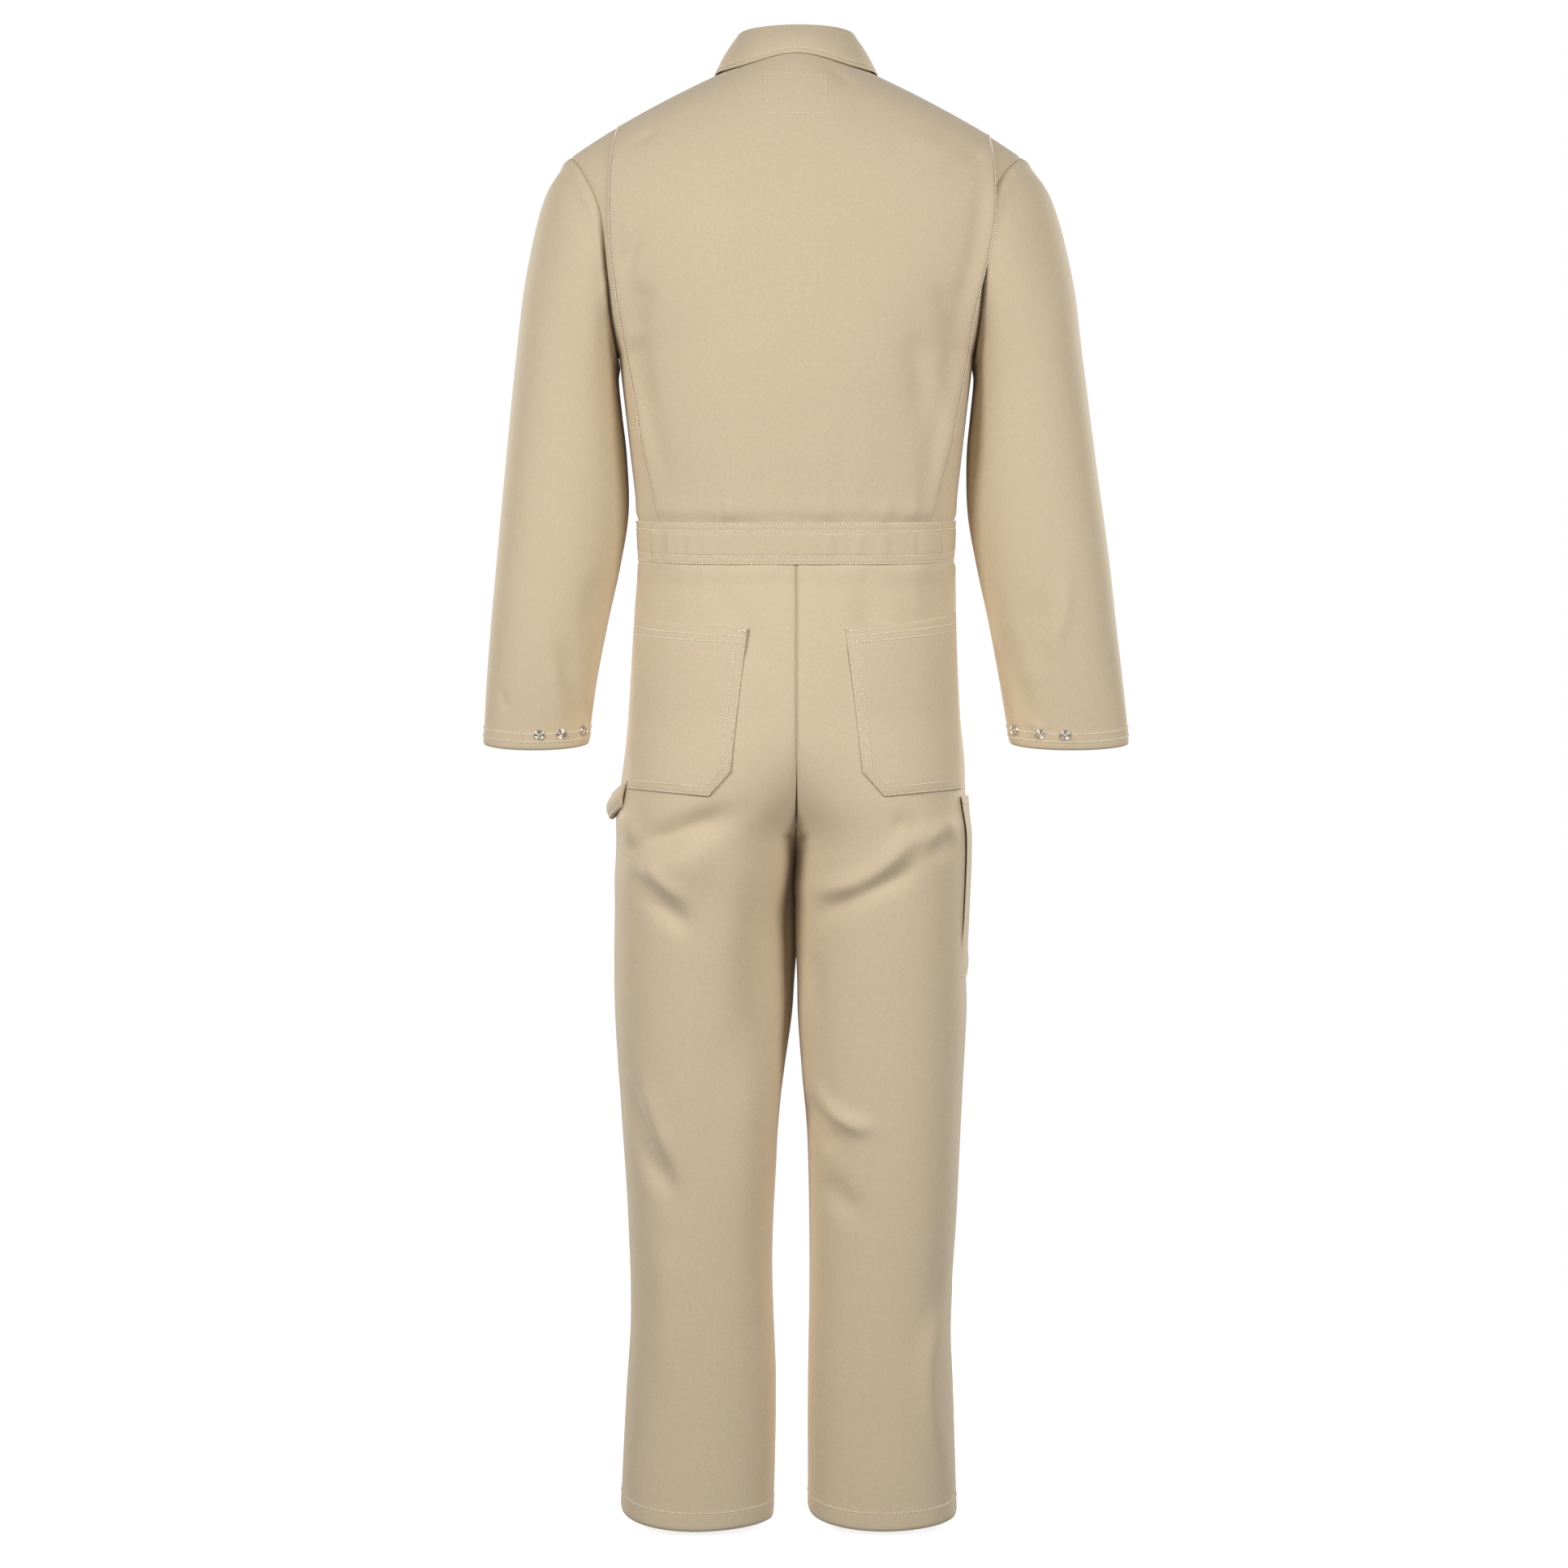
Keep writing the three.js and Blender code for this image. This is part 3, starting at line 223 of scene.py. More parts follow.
# ---- Upper body ---------------------------------------------------------------------------------
shoulder_curve = profile([
    (-NECK_HALF, NECK_Z), (0, NECK_Z + 38), (NECK_HALF, NECK_Z),
    (mix(NECK_HALF, SHOULDER_HALF, 0.34), NECK_Z - 0.3 * SHOULDER_DROP),
    (mix(NECK_HALF, SHOULDER_HALF, 0.73), NECK_Z - 0.69 * SHOULDER_DROP),
    (SHOULDER_HALF, TIP_Z), (SHOULDER_HALF + 20, TIP_Z - 13)])
back_fullness = profile([
    (WAIST_LOW, BACK_DEPTH - 28), (WAIST_TOP, BACK_DEPTH - 23),
    (mix(WAIST_TOP, UNDERARM_Z, 0.5), BACK_DEPTH - 10), (UNDERARM_Z, BACK_DEPTH),
    (mix(UNDERARM_Z, TIP_Z, 0.5), BACK_DEPTH), (TIP_Z, BACK_DEPTH - 13), (NECK_Z, BACK_DEPTH - 20)])
pleat_edge = {
    LEFT: profile([(WAIST_TOP, 150), (UNDERARM_Z - 10, 181), (UNDERARM_Z + 50, 192), (UNDERARM_Z + 130, 202),
                   (UNDERARM_Z + 190, 203), (NECK_Z - 60, 198)]),
    RIGHT: profile([(WAIST_TOP, 147), (UNDERARM_Z - 10, 181), (UNDERARM_Z + 40, 190), (UNDERARM_Z + 120, 209),
                    (UNDERARM_Z + 180, 215), (NECK_Z - 65, 214)]),
}
# How far the sewn armhole curves in from a straight line between the shoulder tip and the underarm.
armhole_scoop = {
    LEFT: profile([(UNDERARM_Z, 0), (1330, 4), (1371, 11), (1441, 19), (1490, 9), (TIP_Z, 0)]),
    RIGHT: profile([(UNDERARM_Z, 0), (1340, 8), (1400, 20), (1450, 26), (1485, 16), (TIP_Z, 0)]),
}


def shoulder_line(x):
    return shoulder_curve(np.abs(x))


def shoulder_rounding(x, z):
    drop = np.minimum((shoulder_line(x) - z) / SHOULDER_ROUND, 1)
    return np.sqrt(np.maximum(0, 1 - (1 - drop) ** 2))


def armhole_x(z):
    return mix(CHEST_HALF, SHOULDER_HALF, (np.clip(z, UNDERARM_Z, TIP_Z) - UNDERARM_Z) / ARMHOLE)


def body_half(z):
    low = mix(WAIST_HALF, WAIST_HALF + 2, (z - WAIST_LOW) / WAISTBAND)
    high = mix(WAIST_HALF + 2, CHEST_HALF, np.clip((z - WAIST_TOP) / (UNDERARM_Z - WAIST_TOP), 0, 1))
    return np.where(z <= WAIST_TOP, low, high)


def body_depth(face, x, z):
    if face == BACK:
        return back_fullness(z) * shoulder_rounding(x, z)
    return FRONT_DEPTH * shoulder_rounding(x, z) / shoulder_rounding(np.zeros_like(x), z)


def section_half(face, z):
    height = np.clip(z, UNDERARM_Z, TIP_Z - 0.5)
    middle = (TIP_Z + UNDERARM_Z) / 2
    oval = ARMHOLE_HALF_DEPTH * np.sqrt(np.maximum(0, 1 - ((height - middle) / (ARMHOLE / 2)) ** 2))
    share = np.clip(oval / body_depth(face, armhole_x(height), height), 0, 0.999)
    return np.where(z <= UNDERARM_Z, body_half(z), armhole_x(height) / rounded(share, BODY_ROUND))


def body_point(face, x, z):
    x, z = np.broadcast_arrays(np.asarray(x, float), np.asarray(z, float))
    share = np.minimum(1, np.abs(x) / section_half(face, z))
    depth = body_depth(face, x, z) * rounded(share, BODY_ROUND)
    return vec(x, face * (depth + SEAM / 2), z)


def surface_normal(point, face, x, z):
    """Outward normal of point(x, z), a surface that faces the back or the front."""
    normal = unit(np.cross(point(x + 0.5, z) - point(x - 0.5, z), point(x, z + 0.5) - point(x, z - 0.5)))
    return normal * np.where(normal[..., 1:2] * face < 0, -1, 1)


def lifted_body(face, x, z, lift):
    normal = surface_normal(lambda px, pz: body_point(face, px, pz), face, x, z)
    return body_point(face, x, z) + normal * np.asarray(lift, float)[..., None]


def back_neck_z(x, half, depth):
    """Height at which the back meets an upright oval cylinder round the neck."""
    x = np.asarray(x, float)
    wanted = depth * np.sqrt(np.maximum(0, 1 - (x / half) ** 2))
    low, high = shoulder_line(x) - SHOULDER_ROUND, shoulder_line(x)
    for _ in range(30):
        middle = (low + high) / 2
        outside = body_point(BACK, x, middle)[..., 1] > wanted
        low, high = np.where(outside, middle, low), np.where(outside, high, middle)
    return (low + high) / 2


def front_neck_z(x):
    return NECK_Z - NECK_DROP * np.sqrt(np.maximum(0, 1 - (np.asarray(x, float) / NECK_HALF) ** 2))


def top_edge(face, x):
    inner = np.minimum(np.abs(x), NECK_HALF)
    neck = back_neck_z(inner, NECK_HALF, NECK_BACK) if face == BACK else front_neck_z(inner)
    return np.where(np.abs(x) >= NECK_HALF, shoulder_line(x), neck)


# ---- Trousers -----------------------------------------------------------------------------------
LEG_STATIONS = {
    LEFT: {"outer": [(0, 195), (0.18, 189), (0.3, 184), (0.45, 187), (0.6, 194), (0.75, 201), (0.9, 201.5), (1, 200)],
           "inner": [(0, 25), (0.2, 22), (0.4, 26), (0.56, 21), (0.66, 12), (0.75, 3), (0.85, 1), (1, 0)],
           "hip": [(0, 200), (0.1, 198), (0.32, 189), (0.44, 185.5), (0.68, 181), (1, WAIST_HALF)]},
    RIGHT: {"outer": [(0, 179), (0.18, 175), (0.3, 172), (0.45, 178), (0.6, 183), (0.75, 189), (0.9, 194), (1, 196)],
            "inner": [(0, 12), (0.2, 12), (0.4, 15), (0.56, 13), (0.66, 6), (0.75, 1), (0.85, 1), (1, 0)],
            "hip": [(0, 196), (0.1, 193), (0.32, 186), (0.44, 182.5), (0.68, 179), (1, WAIST_HALF)]},
}
LEG_DEPTH = {
    BACK: [(0, 64), (0.18, 68), (0.38, 75), (0.56, 85), (0.75, 98), (0.9, 112), (1, 121)],
    FRONT: [(0, 64), (0.18, 66), (0.38, 70), (0.56, 77), (0.75, 88), (0.9, 100), (1, 107)],
}
HIP_DEPTH = {
    BACK: [(0, 121), (0.14, 126), (0.4, 128), (0.7, 117), (1, BACK_DEPTH - 28)],
    FRONT: [(0, 107), (0.14, 111), (0.4, FRONT_DEPTH), (1, FRONT_DEPTH)],
}


def joined_profile(leg, hip):
    low = [(share * INSEAM, value) for share, value in leg]
    return profile(low + [(INSEAM + share * RISE, value) for share, value in hip[1:]])


leg_outer = {s: joined_profile(LEG_STATIONS[s]["outer"], LEG_STATIONS[s]["hip"]) for s in (LEFT, RIGHT)}
leg_inner = {s: profile([(share * INSEAM, value) for share, value in LEG_STATIONS[s]["inner"]]) for s in (LEFT, RIGHT)}
trouser_depth = {f: joined_profile(LEG_DEPTH[f], HIP_DEPTH[f]) for f in (BACK, FRONT)}


def eased_ramp(t, ease=0.15):
    """0 below 0 and t above it, with the corner rounded."""
    return np.where(t < -ease, 0, np.where(t > ease, t, (t + ease) ** 2 / (4 * ease)))


def leg_oval(side, z):
    """Centre, half width and inner edge of the oval that a leg's section lies on."""
    outer, inner = leg_outer[side](z), leg_inner[side](z)
    share = (SEAT_Z - z) / SEAT_CURVE
    turn = eased_ramp(share) - eased_ramp(share - 1)
    leg = z < INSEAM
    centre = outer * turn / (1 + turn) + np.where(leg, inner / 2, 0)
    return centre, outer - centre, np.where(leg, inner, 0)


def trouser_point(face, side, x, z):
    """Point at distance x out from the centre line, on either leg."""
    x, z = np.broadcast_arrays(np.asarray(x, float), np.asarray(z, float))
    centre, half, _ = leg_oval(side, z)
    share = np.minimum(1, np.abs(x - centre) / half)
    depth = trouser_depth[face](z) * rounded(share, LEG_ROUND)
    return vec(side * x, face * (depth + SEAM / 2), z)


def leg_point(face, side, u, z):
    centre, half, inner = leg_oval(side, z)
    if face == FRONT:
        inner = np.where(z < INSEAM, inner, FLY_EDGE * np.clip((z - FLY_LOW + 1.5) / 5.5, 0, 1))
    start = np.arccos(np.clip((inner - centre) / half, -1, 1))
    x = centre + half * np.cos(start * (1 - u))
    point = trouser_point(face, side, x, z)
    point[..., 0] += side * SEAM / 2
    return point


def lifted_trouser(face, side, x, z, lift):
    normal = surface_normal(lambda px, pz: trouser_point(face, side, px, pz), face, x, z)
    return trouser_point(face, side, x, z) + normal * np.asarray(lift, float)[..., None]


def wrap_point(side, turn, z, lift):
    """A point on a strip wrapped round the side seam, from the back (turn > 0) to the front."""
    turn, z, lift = np.broadcast_arrays(np.asarray(turn, float), np.asarray(z, float), np.asarray(lift, float))
    centre, half, _ = leg_oval(side, z)
    depth = np.where(turn >= 0, trouser_depth[BACK](z), trouser_depth[FRONT](z))
    x = centre + half * np.abs(np.cos(turn)) ** (2 / LEG_ROUND)
    y = (depth + SEAM / 2) * np.sign(turn) * np.abs(np.sin(turn)) ** (2 / LEG_ROUND)
    outward = unit(vec(side * np.cos(turn) / half, np.sin(turn) / depth, 0))
    return vec(side * (x + SEAM / 2), y, z) + outward * lift[..., None]


# ---- Sleeves ------------------------------------------------------------------------------------
# Share of the length, outer edge out and down from the shoulder tip, inner edge out and down, half depth.
SLEEVE_STATIONS = {
    LEFT: [(0.0, 0, 0, -53, 224, ARMHOLE_HALF_DEPTH), (0.1, 28, 46, -54, 250, 74), (0.22, 48, 132, -58, 287, 76),
           (0.36, 59, 222, -63, 332, 74), (0.5, 69.5, 327, -65, 392, 70), (0.66, 80, 437, -56, 452, 64),
           (0.8, 88, 522, -41, 522, 56), (0.9, 93, 587, -29, 587, 46), (1.0, 96.5, 650, -21, 650, 33)],
    RIGHT: [(0.0, 0, 0, -53, 224, ARMHOLE_HALF_DEPTH), (0.1, 32, 46, -54, 250, 74), (0.22, 55, 132, -58, 287, 76),
            (0.36, 67, 222, -62, 332, 74), (0.5, 81, 327, -61, 392, 70), (0.66, 96, 437, -51, 452, 64),
            (0.8, 105, 522, -36, 522, 56), (0.9, 112, 587, -24, 587, 46), (1.0, 118.5, 650, -14, 650, 33)],
}
sleeve_curves = {s: [profile([(row[0], row[i]) for row in SLEEVE_STATIONS[s]]) for i in range(1, 6)]
                 for s in (LEFT, RIGHT)}
ARMHOLE_NORMAL = unit(np.array([ARMHOLE, 0.0, CHEST_HALF - SHOULDER_HALF]))


def sleeve_tube(side, turn, v):
    outer_out, outer_drop, inner_out, inner_drop, depth = (curve(v) for curve in sleeve_curves[side])
    outer_x, outer_z = SHOULDER_HALF + outer_out, TIP_Z - outer_drop
    inner_x, inner_z = SHOULDER_HALF + inner_out, TIP_Z - inner_drop
    tilt = CUFF_TILT * np.clip((v - 0.5) / 0.5, 0, 1)
    x = (outer_x + inner_x) / 2 + (outer_x - inner_x) / 2 * np.cos(turn)
    y = depth * np.sin(turn)
    z = (outer_z + inner_z) / 2 + (outer_z - inner_z) / 2 * np.cos(turn) - tilt * y
    return vec(x, y, z) + ARMHOLE_NORMAL * 1.5 * SEAM


def sleeve_point(side, turn, v):
    """The sleeve, with its head drawn to the curve on which it is sewn to the body."""
    turn, v = np.broadcast_arrays(np.asarray(turn, float), np.asarray(v, float))
    head = sleeve_tube(side, turn, np.zeros_like(v))
    z = np.clip(head[..., 2], UNDERARM_Z, TIP_Z)
    x = armhole_x(z) - armhole_scoop[side](z)
    y = np.where(np.sin(turn) >= 0, body_point(BACK, x, z)[..., 1], body_point(FRONT, x, z)[..., 1])
    y = y * np.clip(np.abs(np.sin(turn)) / 0.05, 0, 1)
    sewn = vec(x, y, z) + ARMHOLE_NORMAL * 1.5 * SEAM
    point = sleeve_tube(side, turn, v) + (sewn - head) * (1 - smooth(v / 0.3))[..., None]
    point[..., 0] *= side
    return point


# ---- Folds in the cloth -------------------------------------------------------------------------
def fold(x, z, path, width, height, fade=0.35):
    """Height of a soft fold along a path of (x, z): a ridge, or a hollow where height is negative."""
    path = np.array(path, float)
    curve_at = np.linspace(0, len(path) - 1, 24)
    px, pz = (profile(list(enumerate(path[:, i])))(curve_at) for i in (0, 1))
    near = np.full(np.shape(x), 1e9)
    along = np.zeros(np.shape(x))
    for i in range(23):
        ax, az, bx, bz = px[i], pz[i], px[i + 1], pz[i + 1]
        length = max((bx - ax) ** 2 + (bz - az) ** 2, 1e-6)
        t = np.clip(((x - ax) * (bx - ax) + (z - az) * (bz - az)) / length, 0, 1)
        distance = (x - ax - t * (bx - ax)) ** 2 + (z - az - t * (bz - az)) ** 2
        closer = distance < near
        near = np.where(closer, distance, near)
        along = np.where(closer, (i + t) / 23, along)
    ends = smooth(np.minimum(along, 1 - along) / fade) * 0.85 + 0.15
    return height * ends * np.exp(-near / (width * width))


def folds(x, z, table):
    return sum(fold(x, z, *row) for row in table)


def ripples(position, seed, spacing, sharpness=1.0):
    """Uneven small gathers along a seam: one value at each position in millimetres."""
    rng = np.random.default_rng(seed)
    low, high = float(np.min(position)) - 40, float(np.max(position)) + 40
    centres = np.arange(low, high, spacing)
    centres = centres + rng.uniform(-0.4, 0.4, len(centres)) * spacing
    heights = rng.uniform(0.35, 1.0, len(centres)) * rng.choice([1, 1, -0.7], len(centres))
    widths = rng.uniform(0.26, 0.48, len(centres)) * spacing / sharpness
    return sum(h * np.exp(-((position - c) / w) ** 2) for c, h, w in zip(centres, heights, widths))


def gentle(x, z, seed, scale, height):
    """Slow unevenness of hanging cloth, from a few crossing waves."""
    rng = np.random.default_rng(seed)
    total = 0
    for _ in range(7):
        angle, phase = rng.uniform(0, math.pi), rng.uniform(0, 2 * math.pi)
        size = scale * rng.uniform(0.6, 1.6)
        total = total + np.sin((x * math.cos(angle) + z * math.sin(angle) * 0.6) / size + phase)
    return total * height / 4


# ---- Cloth into meshes --------------------------------------------------------------------------
def settle(points):
    """The waist hangs lower at the middle of the back than at its sides."""
    points = np.array(points, float)
    bow = WAIST_BOW * bell(points[..., 2] - WAIST_LOW, 125)
    points[..., 2] -= bow * smooth(points[..., 1] / 115)
    return points


def place(points, hanging=True):
    """Millimetres above the hem to metres in the frame."""
    points = settle(points) if hanging else np.array(points, float)
    points[..., 2] -= NECK_Z
    return points / 1000


def grid_normals(points, closed):
    if closed:
        along_u = np.roll(points, -1, axis=1) - np.roll(points, 1, axis=1)
    else:
        along_u = np.gradient(points, axis=1)
    return unit(np.cross(along_u, np.gradient(points, axis=0)))


class Cloth:
    """A grid of points, rows by columns, with outward normals and the distances along the cloth."""

    def __init__(self, points, outward, closed=False):
        self.closed = closed
        self.points = points
        normals = grid_normals(points, closed)
        self.sign = 1 if np.sum(normals * outward) > 0 else -1
        self.normals = normals * self.sign

    def push(self, height):
        self.points = self.points + self.normals * np.asarray(height, float)[..., None]
        self.normals = grid_normals(self.points, self.closed) * self.sign
        return self

    def draw_in(self, axis, wanted, distance, reach):
        """Moves the points near an edge along one axis, so that the edge itself reaches wanted."""
        self.points[..., axis] += (wanted - self.points[..., axis]) * bell(distance, reach)
        return self.push(np.zeros(distance.shape))

    def lengths(self):
        """Distance along each row and up each column, in millimetres."""
        points = self.points
        across = np.linalg.norm(np.diff(points, axis=1), axis=2)
        up = np.linalg.norm(np.diff(points, axis=0), axis=2)
        across = np.concatenate([np.zeros((len(points), 1)), np.cumsum(across, axis=1)], axis=1)
        up = np.concatenate([np.zeros((1, points.shape[1])), np.cumsum(up, axis=0)], axis=0)
        return across, up

    def sample(self, row, column):
        """Points and normals at fractional rows and columns."""
        rows, columns = self.points.shape[:2]
        row = np.clip(np.asarray(row, float), 0, rows - 1.001)
        column = np.asarray(column, float) % columns if self.closed else np.clip(column, 0, columns - 1.001)
        i, j = np.floor(row).astype(int), np.floor(column).astype(int)
        a, b = (row - i)[..., None], (column - j)[..., None]
        k = (j + 1) % columns

        def blend(grid):
            return mix(mix(grid[i, j], grid[i, k], b), mix(grid[i + 1, j], grid[i + 1, k], b), a)
        return blend(self.points), unit(blend(self.normals))

    def beside_column(self, last, inset, low=0.0, high=1.0):
        """A path beside the first or last column, inset by a distance, from one share of the height to another."""
        across, _ = self.lengths()
        rows = np.linspace(low, high, 160) * (len(self.points) - 1)
        columns = []
        for row in np.round(rows).astype(int):
            line = across[row, -1] - across[row][::-1] if last else across[row]
            found = np.interp(inset, line, np.arange(len(line)))
            columns.append(len(line) - 1 - found if last else found)
        return self.sample(rows, np.array(columns))

    def beside_row(self, last, inset, low=0.0, high=1.0):
        """The same beside the first or last row."""
        _, up = self.lengths()
        count = self.points.shape[1]
        columns = np.linspace(low, high, 200) * (count if self.closed else count - 1)
        rows = []
        for column in np.round(columns).astype(int) % count:
            line = up[-1, column] - up[::-1, column] if last else up[:, column]
            found = np.interp(inset, line, np.arange(len(line)))
            rows.append(len(line) - 1 - found if last else found)
        return self.sample(np.array(rows), columns)


def edge_distance(cloth):
    """Distance of each point to the nearest free edge of an open piece, or to the ends of a tube."""
    across, up = cloth.lengths()
    near = np.minimum(up, up[-1] - up)
    if not cloth.closed:
        near = np.minimum(near, np.minimum(across, across[:, -1:] - across))
    return near


def new_object(name, mesh, material):
    piece = bpy.data.objects.new(name, mesh)
    bpy.context.scene.collection.objects.link(piece)
    if material is not None:
        mesh.materials.clear()
        mesh.materials.append(material)
    return piece


def mesh_from(name, vertices, faces, uvs=None, smooth_faces=True):
    mesh = bpy.data.meshes.new(name)
    mesh.from_pydata([tuple(v) for v in vertices], [], faces)
    mesh.update()
    if uvs is not None:
        layer = mesh.uv_layers.new(name="cloth")
        loops = np.empty(len(mesh.loops), dtype=np.int32)
        mesh.loops.foreach_get("vertex_index", loops)
        layer.data.foreach_set("uv", np.asarray(uvs, np.float32)[loops].ravel())
    mesh.polygons.foreach_set("use_smooth", [smooth_faces] * len(mesh.polygons))
    return mesh


def shell_mesh(name, cloth, thickness, hanging=True):
    """Closed mesh of the cloth: the outer grid, the inner one behind it and the turned edges."""
    rows, columns = cloth.points.shape[:2]
    layers = bpy.context.scene.coverall_sizes.cloth_thickness * 1000 / CLOTH
    depth = np.broadcast_to(np.asarray(thickness, float) * layers, (rows, columns))
    near = edge_distance(cloth)
    rounding = 0.45 * depth * np.exp(-near / 0.8)
    outer = cloth.points - cloth.normals * rounding[..., None]
    inner = cloth.points - cloth.normals * (depth - 0.6 * rounding)[..., None]
    vertices = place(np.concatenate([outer.reshape(-1, 3), inner.reshape(-1, 3)]), hanging)
    half = rows * columns
    across = columns if cloth.closed else columns - 1
    i, j = (grid.ravel() for grid in np.meshgrid(np.arange(rows - 1), np.arange(across), indexing="ij"))
    k = (j + 1) % columns
    a, b, c, d = i * columns + j, i * columns + k, (i + 1) * columns + k, (i + 1) * columns + j
    faces = [np.stack([a, b, c, d], 1), np.stack([a, d, c, b], 1) + half]
    j = np.arange(across)
    k = (j + 1) % columns
    top = (rows - 1) * columns
    faces.append(np.stack([j, j + half, k + half, k], 1))
    faces.append(np.stack([top + j, top + k, top + k + half, top + j + half], 1))
    if not cloth.closed:
        i = np.arange(rows - 1) * columns
        faces.append(np.stack([i, i + columns, i + columns + half, i + half], 1))
        i = i + columns - 1
        faces.append(np.stack([i, i + half, i + columns + half, i + columns], 1))
    faces = np.concatenate(faces)
    if cloth.sign < 0:
        faces = faces[:, ::-1]
    lengths_u, lengths_v = cloth.lengths()
    middle = lengths_u[:, columns // 2][:, None]
    uv = np.stack([(lengths_u - middle), lengths_v], -1).reshape(-1, 2) / 1000
    return mesh_from(name, vertices, faces.tolist(), np.concatenate([uv, uv]))


# ---- Materials ----------------------------------------------------------------------------------
def linear(hex_colour):
    """Linear colour with alpha from an sRGB hex value such as 'd3c3a8'."""
    parts = [int(hex_colour[i:i + 2], 16) / 255 for i in (0, 2, 4)]
    return tuple(((c + 0.055) / 1.055) ** 2.4 if c > 0.04045 else c / 12.92 for c in parts) + (1.0,)


def add_node(tree, kind, settings=None, links=None):
    """Adds a node, sets its properties and inputs, and links inputs to other sockets."""
    node = tree.nodes.new(kind)
    for key, value in (settings or {}).items():
        if isinstance(key, str) and hasattr(node, key):
            setattr(node, key, value)
        else:
            node.inputs[key].default_value = value
    for key, socket in (links or {}).items():
        tree.links.new(socket, node.inputs[key])
    return node


def new_material(name):
    material = bpy.data.materials.new(name)
    material.use_nodes = True
    tree = material.node_tree
    tree.nodes.clear()
    return material, tree


def shaded(colour, share):
    return tuple(part * share for part in colour[:3]) + (1.0,)


def two_tones(tree, pattern, low, high):
    """Runs from one colour to another with a pattern node."""
    tone = add_node(tree, "ShaderNodeMix", {"data_type": "RGBA"}, {0: pattern.outputs["Fac"]})
    tone.inputs[6].default_value = low
    tone.inputs[7].default_value = high
    return tone


def finish_material(tree, shader):
    add_node(tree, "ShaderNodeOutputMaterial", links={"Surface": shader.outputs["BSDF"]})


def twill_material(name, colour, sheen=0.25, thread_mm=1.3, mottle=0.05):
    """Poly-cotton twill, woven and pressed: a matt, even cloth whose fine diagonal ribs catch the light,
    with slow unevenness of the dye. Real ribs are about 0.5 mm apart; they are drawn wider so that they show."""
    material, tree = new_material(name)
    uv = add_node(tree, "ShaderNodeUVMap", {"uv_map": "cloth"})
    place_at = add_node(tree, "ShaderNodeTexCoord")
    ribs = add_node(tree, "ShaderNodeTexWave", {
        "wave_type": "BANDS", "bands_direction": "DIAGONAL", "Scale": 444 / thread_mm,
        "Distortion": 0.4, "Detail": 1.0, "Detail Scale": 2.0}, {"Vector": uv.outputs["UV"]})
    slubs = add_node(tree, "ShaderNodeTexNoise", {"Scale": 900.0, "Detail": 3.0, "Roughness": 0.65},
                     {"Vector": uv.outputs["UV"]})
    grain = add_node(tree, "ShaderNodeTexNoise", {"Scale": 260.0, "Detail": 2.0, "Roughness": 0.5},
                     {"Vector": uv.outputs["UV"]})
    dye = add_node(tree, "ShaderNodeTexNoise", {"Scale": 7.0, "Detail": 2.5, "Roughness": 0.5},
                   {"Vector": place_at.outputs["Object"]})
    warm = (colour[0] * (1 + 0.4 * mottle), colour[1] * (1 - 0.1 * mottle), colour[2] * (1 - 0.5 * mottle), 1.0)
    dyed = two_tones(tree, dye, shaded(colour, 1 - mottle), warm)
    rib_shade = add_node(tree, "ShaderNodeMapRange", {"From Min": 0.0, "From Max": 1.0, "To Min": 0.955,
                                                      "To Max": 1.03}, {"Value": ribs.outputs["Fac"]})
    grain_shade = add_node(tree, "ShaderNodeMapRange", {"From Min": 0.3, "From Max": 0.7, "To Min": 0.965,
                                                        "To Max": 1.035}, {"Value": grain.outputs["Fac"]})
    shade = add_node(tree, "ShaderNodeMath", {"operation": "MULTIPLY"},
                     {0: rib_shade.outputs["Result"], 1: grain_shade.outputs["Result"]})
    colour_out = add_node(tree, "ShaderNodeVectorMath", {"operation": "SCALE"},
                          {0: dyed.outputs[2], "Scale": shade.outputs[0]})
    relief = add_node(tree, "ShaderNodeMath", {"operation": "ADD"},
                      {0: ribs.outputs["Fac"], 1: slubs.outputs["Fac"]})
    bump = add_node(tree, "ShaderNodeBump", {"Strength": 0.28, "Distance": 0.00022}, {"Height": relief.outputs[0]})
    rough = add_node(tree, "ShaderNodeMapRange", {"From Min": 0.3, "From Max": 0.7, "To Min": 0.74, "To Max": 0.88},
                     {"Value": slubs.outputs["Fac"]})
    shader = add_node(tree, "ShaderNodeBsdfPrincipled", {
        "Sheen Weight": sheen, "Sheen Roughness": 0.45, "Specular IOR Level": 0.3},
        {"Base Color": colour_out.outputs[0], "Roughness": rough.outputs["Result"], "Normal": bump.outputs["Normal"]})
    finish_material(tree, shader)
    return material


def thread_material(name, colour):
    """Spun polyester sewing thread: pale, slightly lustrous, with a fine two-ply twist."""
    material, tree = new_material(name)
    at = add_node(tree, "ShaderNodeTexCoord")
    twist = add_node(tree, "ShaderNodeTexWave", {"bands_direction": "DIAGONAL", "Scale": 110.0, "Distortion": 1.0},
                     {"Vector": at.outputs["Object"]})
    tone = two_tones(tree, twist, shaded(colour, 0.86), colour)
    bump = add_node(tree, "ShaderNodeBump", {"Strength": 0.3, "Distance": 0.0001}, {"Height": twist.outputs["Fac"]})
    shader = add_node(tree, "ShaderNodeBsdfPrincipled", {"Roughness": 0.6, "Sheen Weight": 0.2},
                      {"Base Color": tone.outputs[2], "Normal": bump.outputs["Normal"]})
    finish_material(tree, shader)
    return material


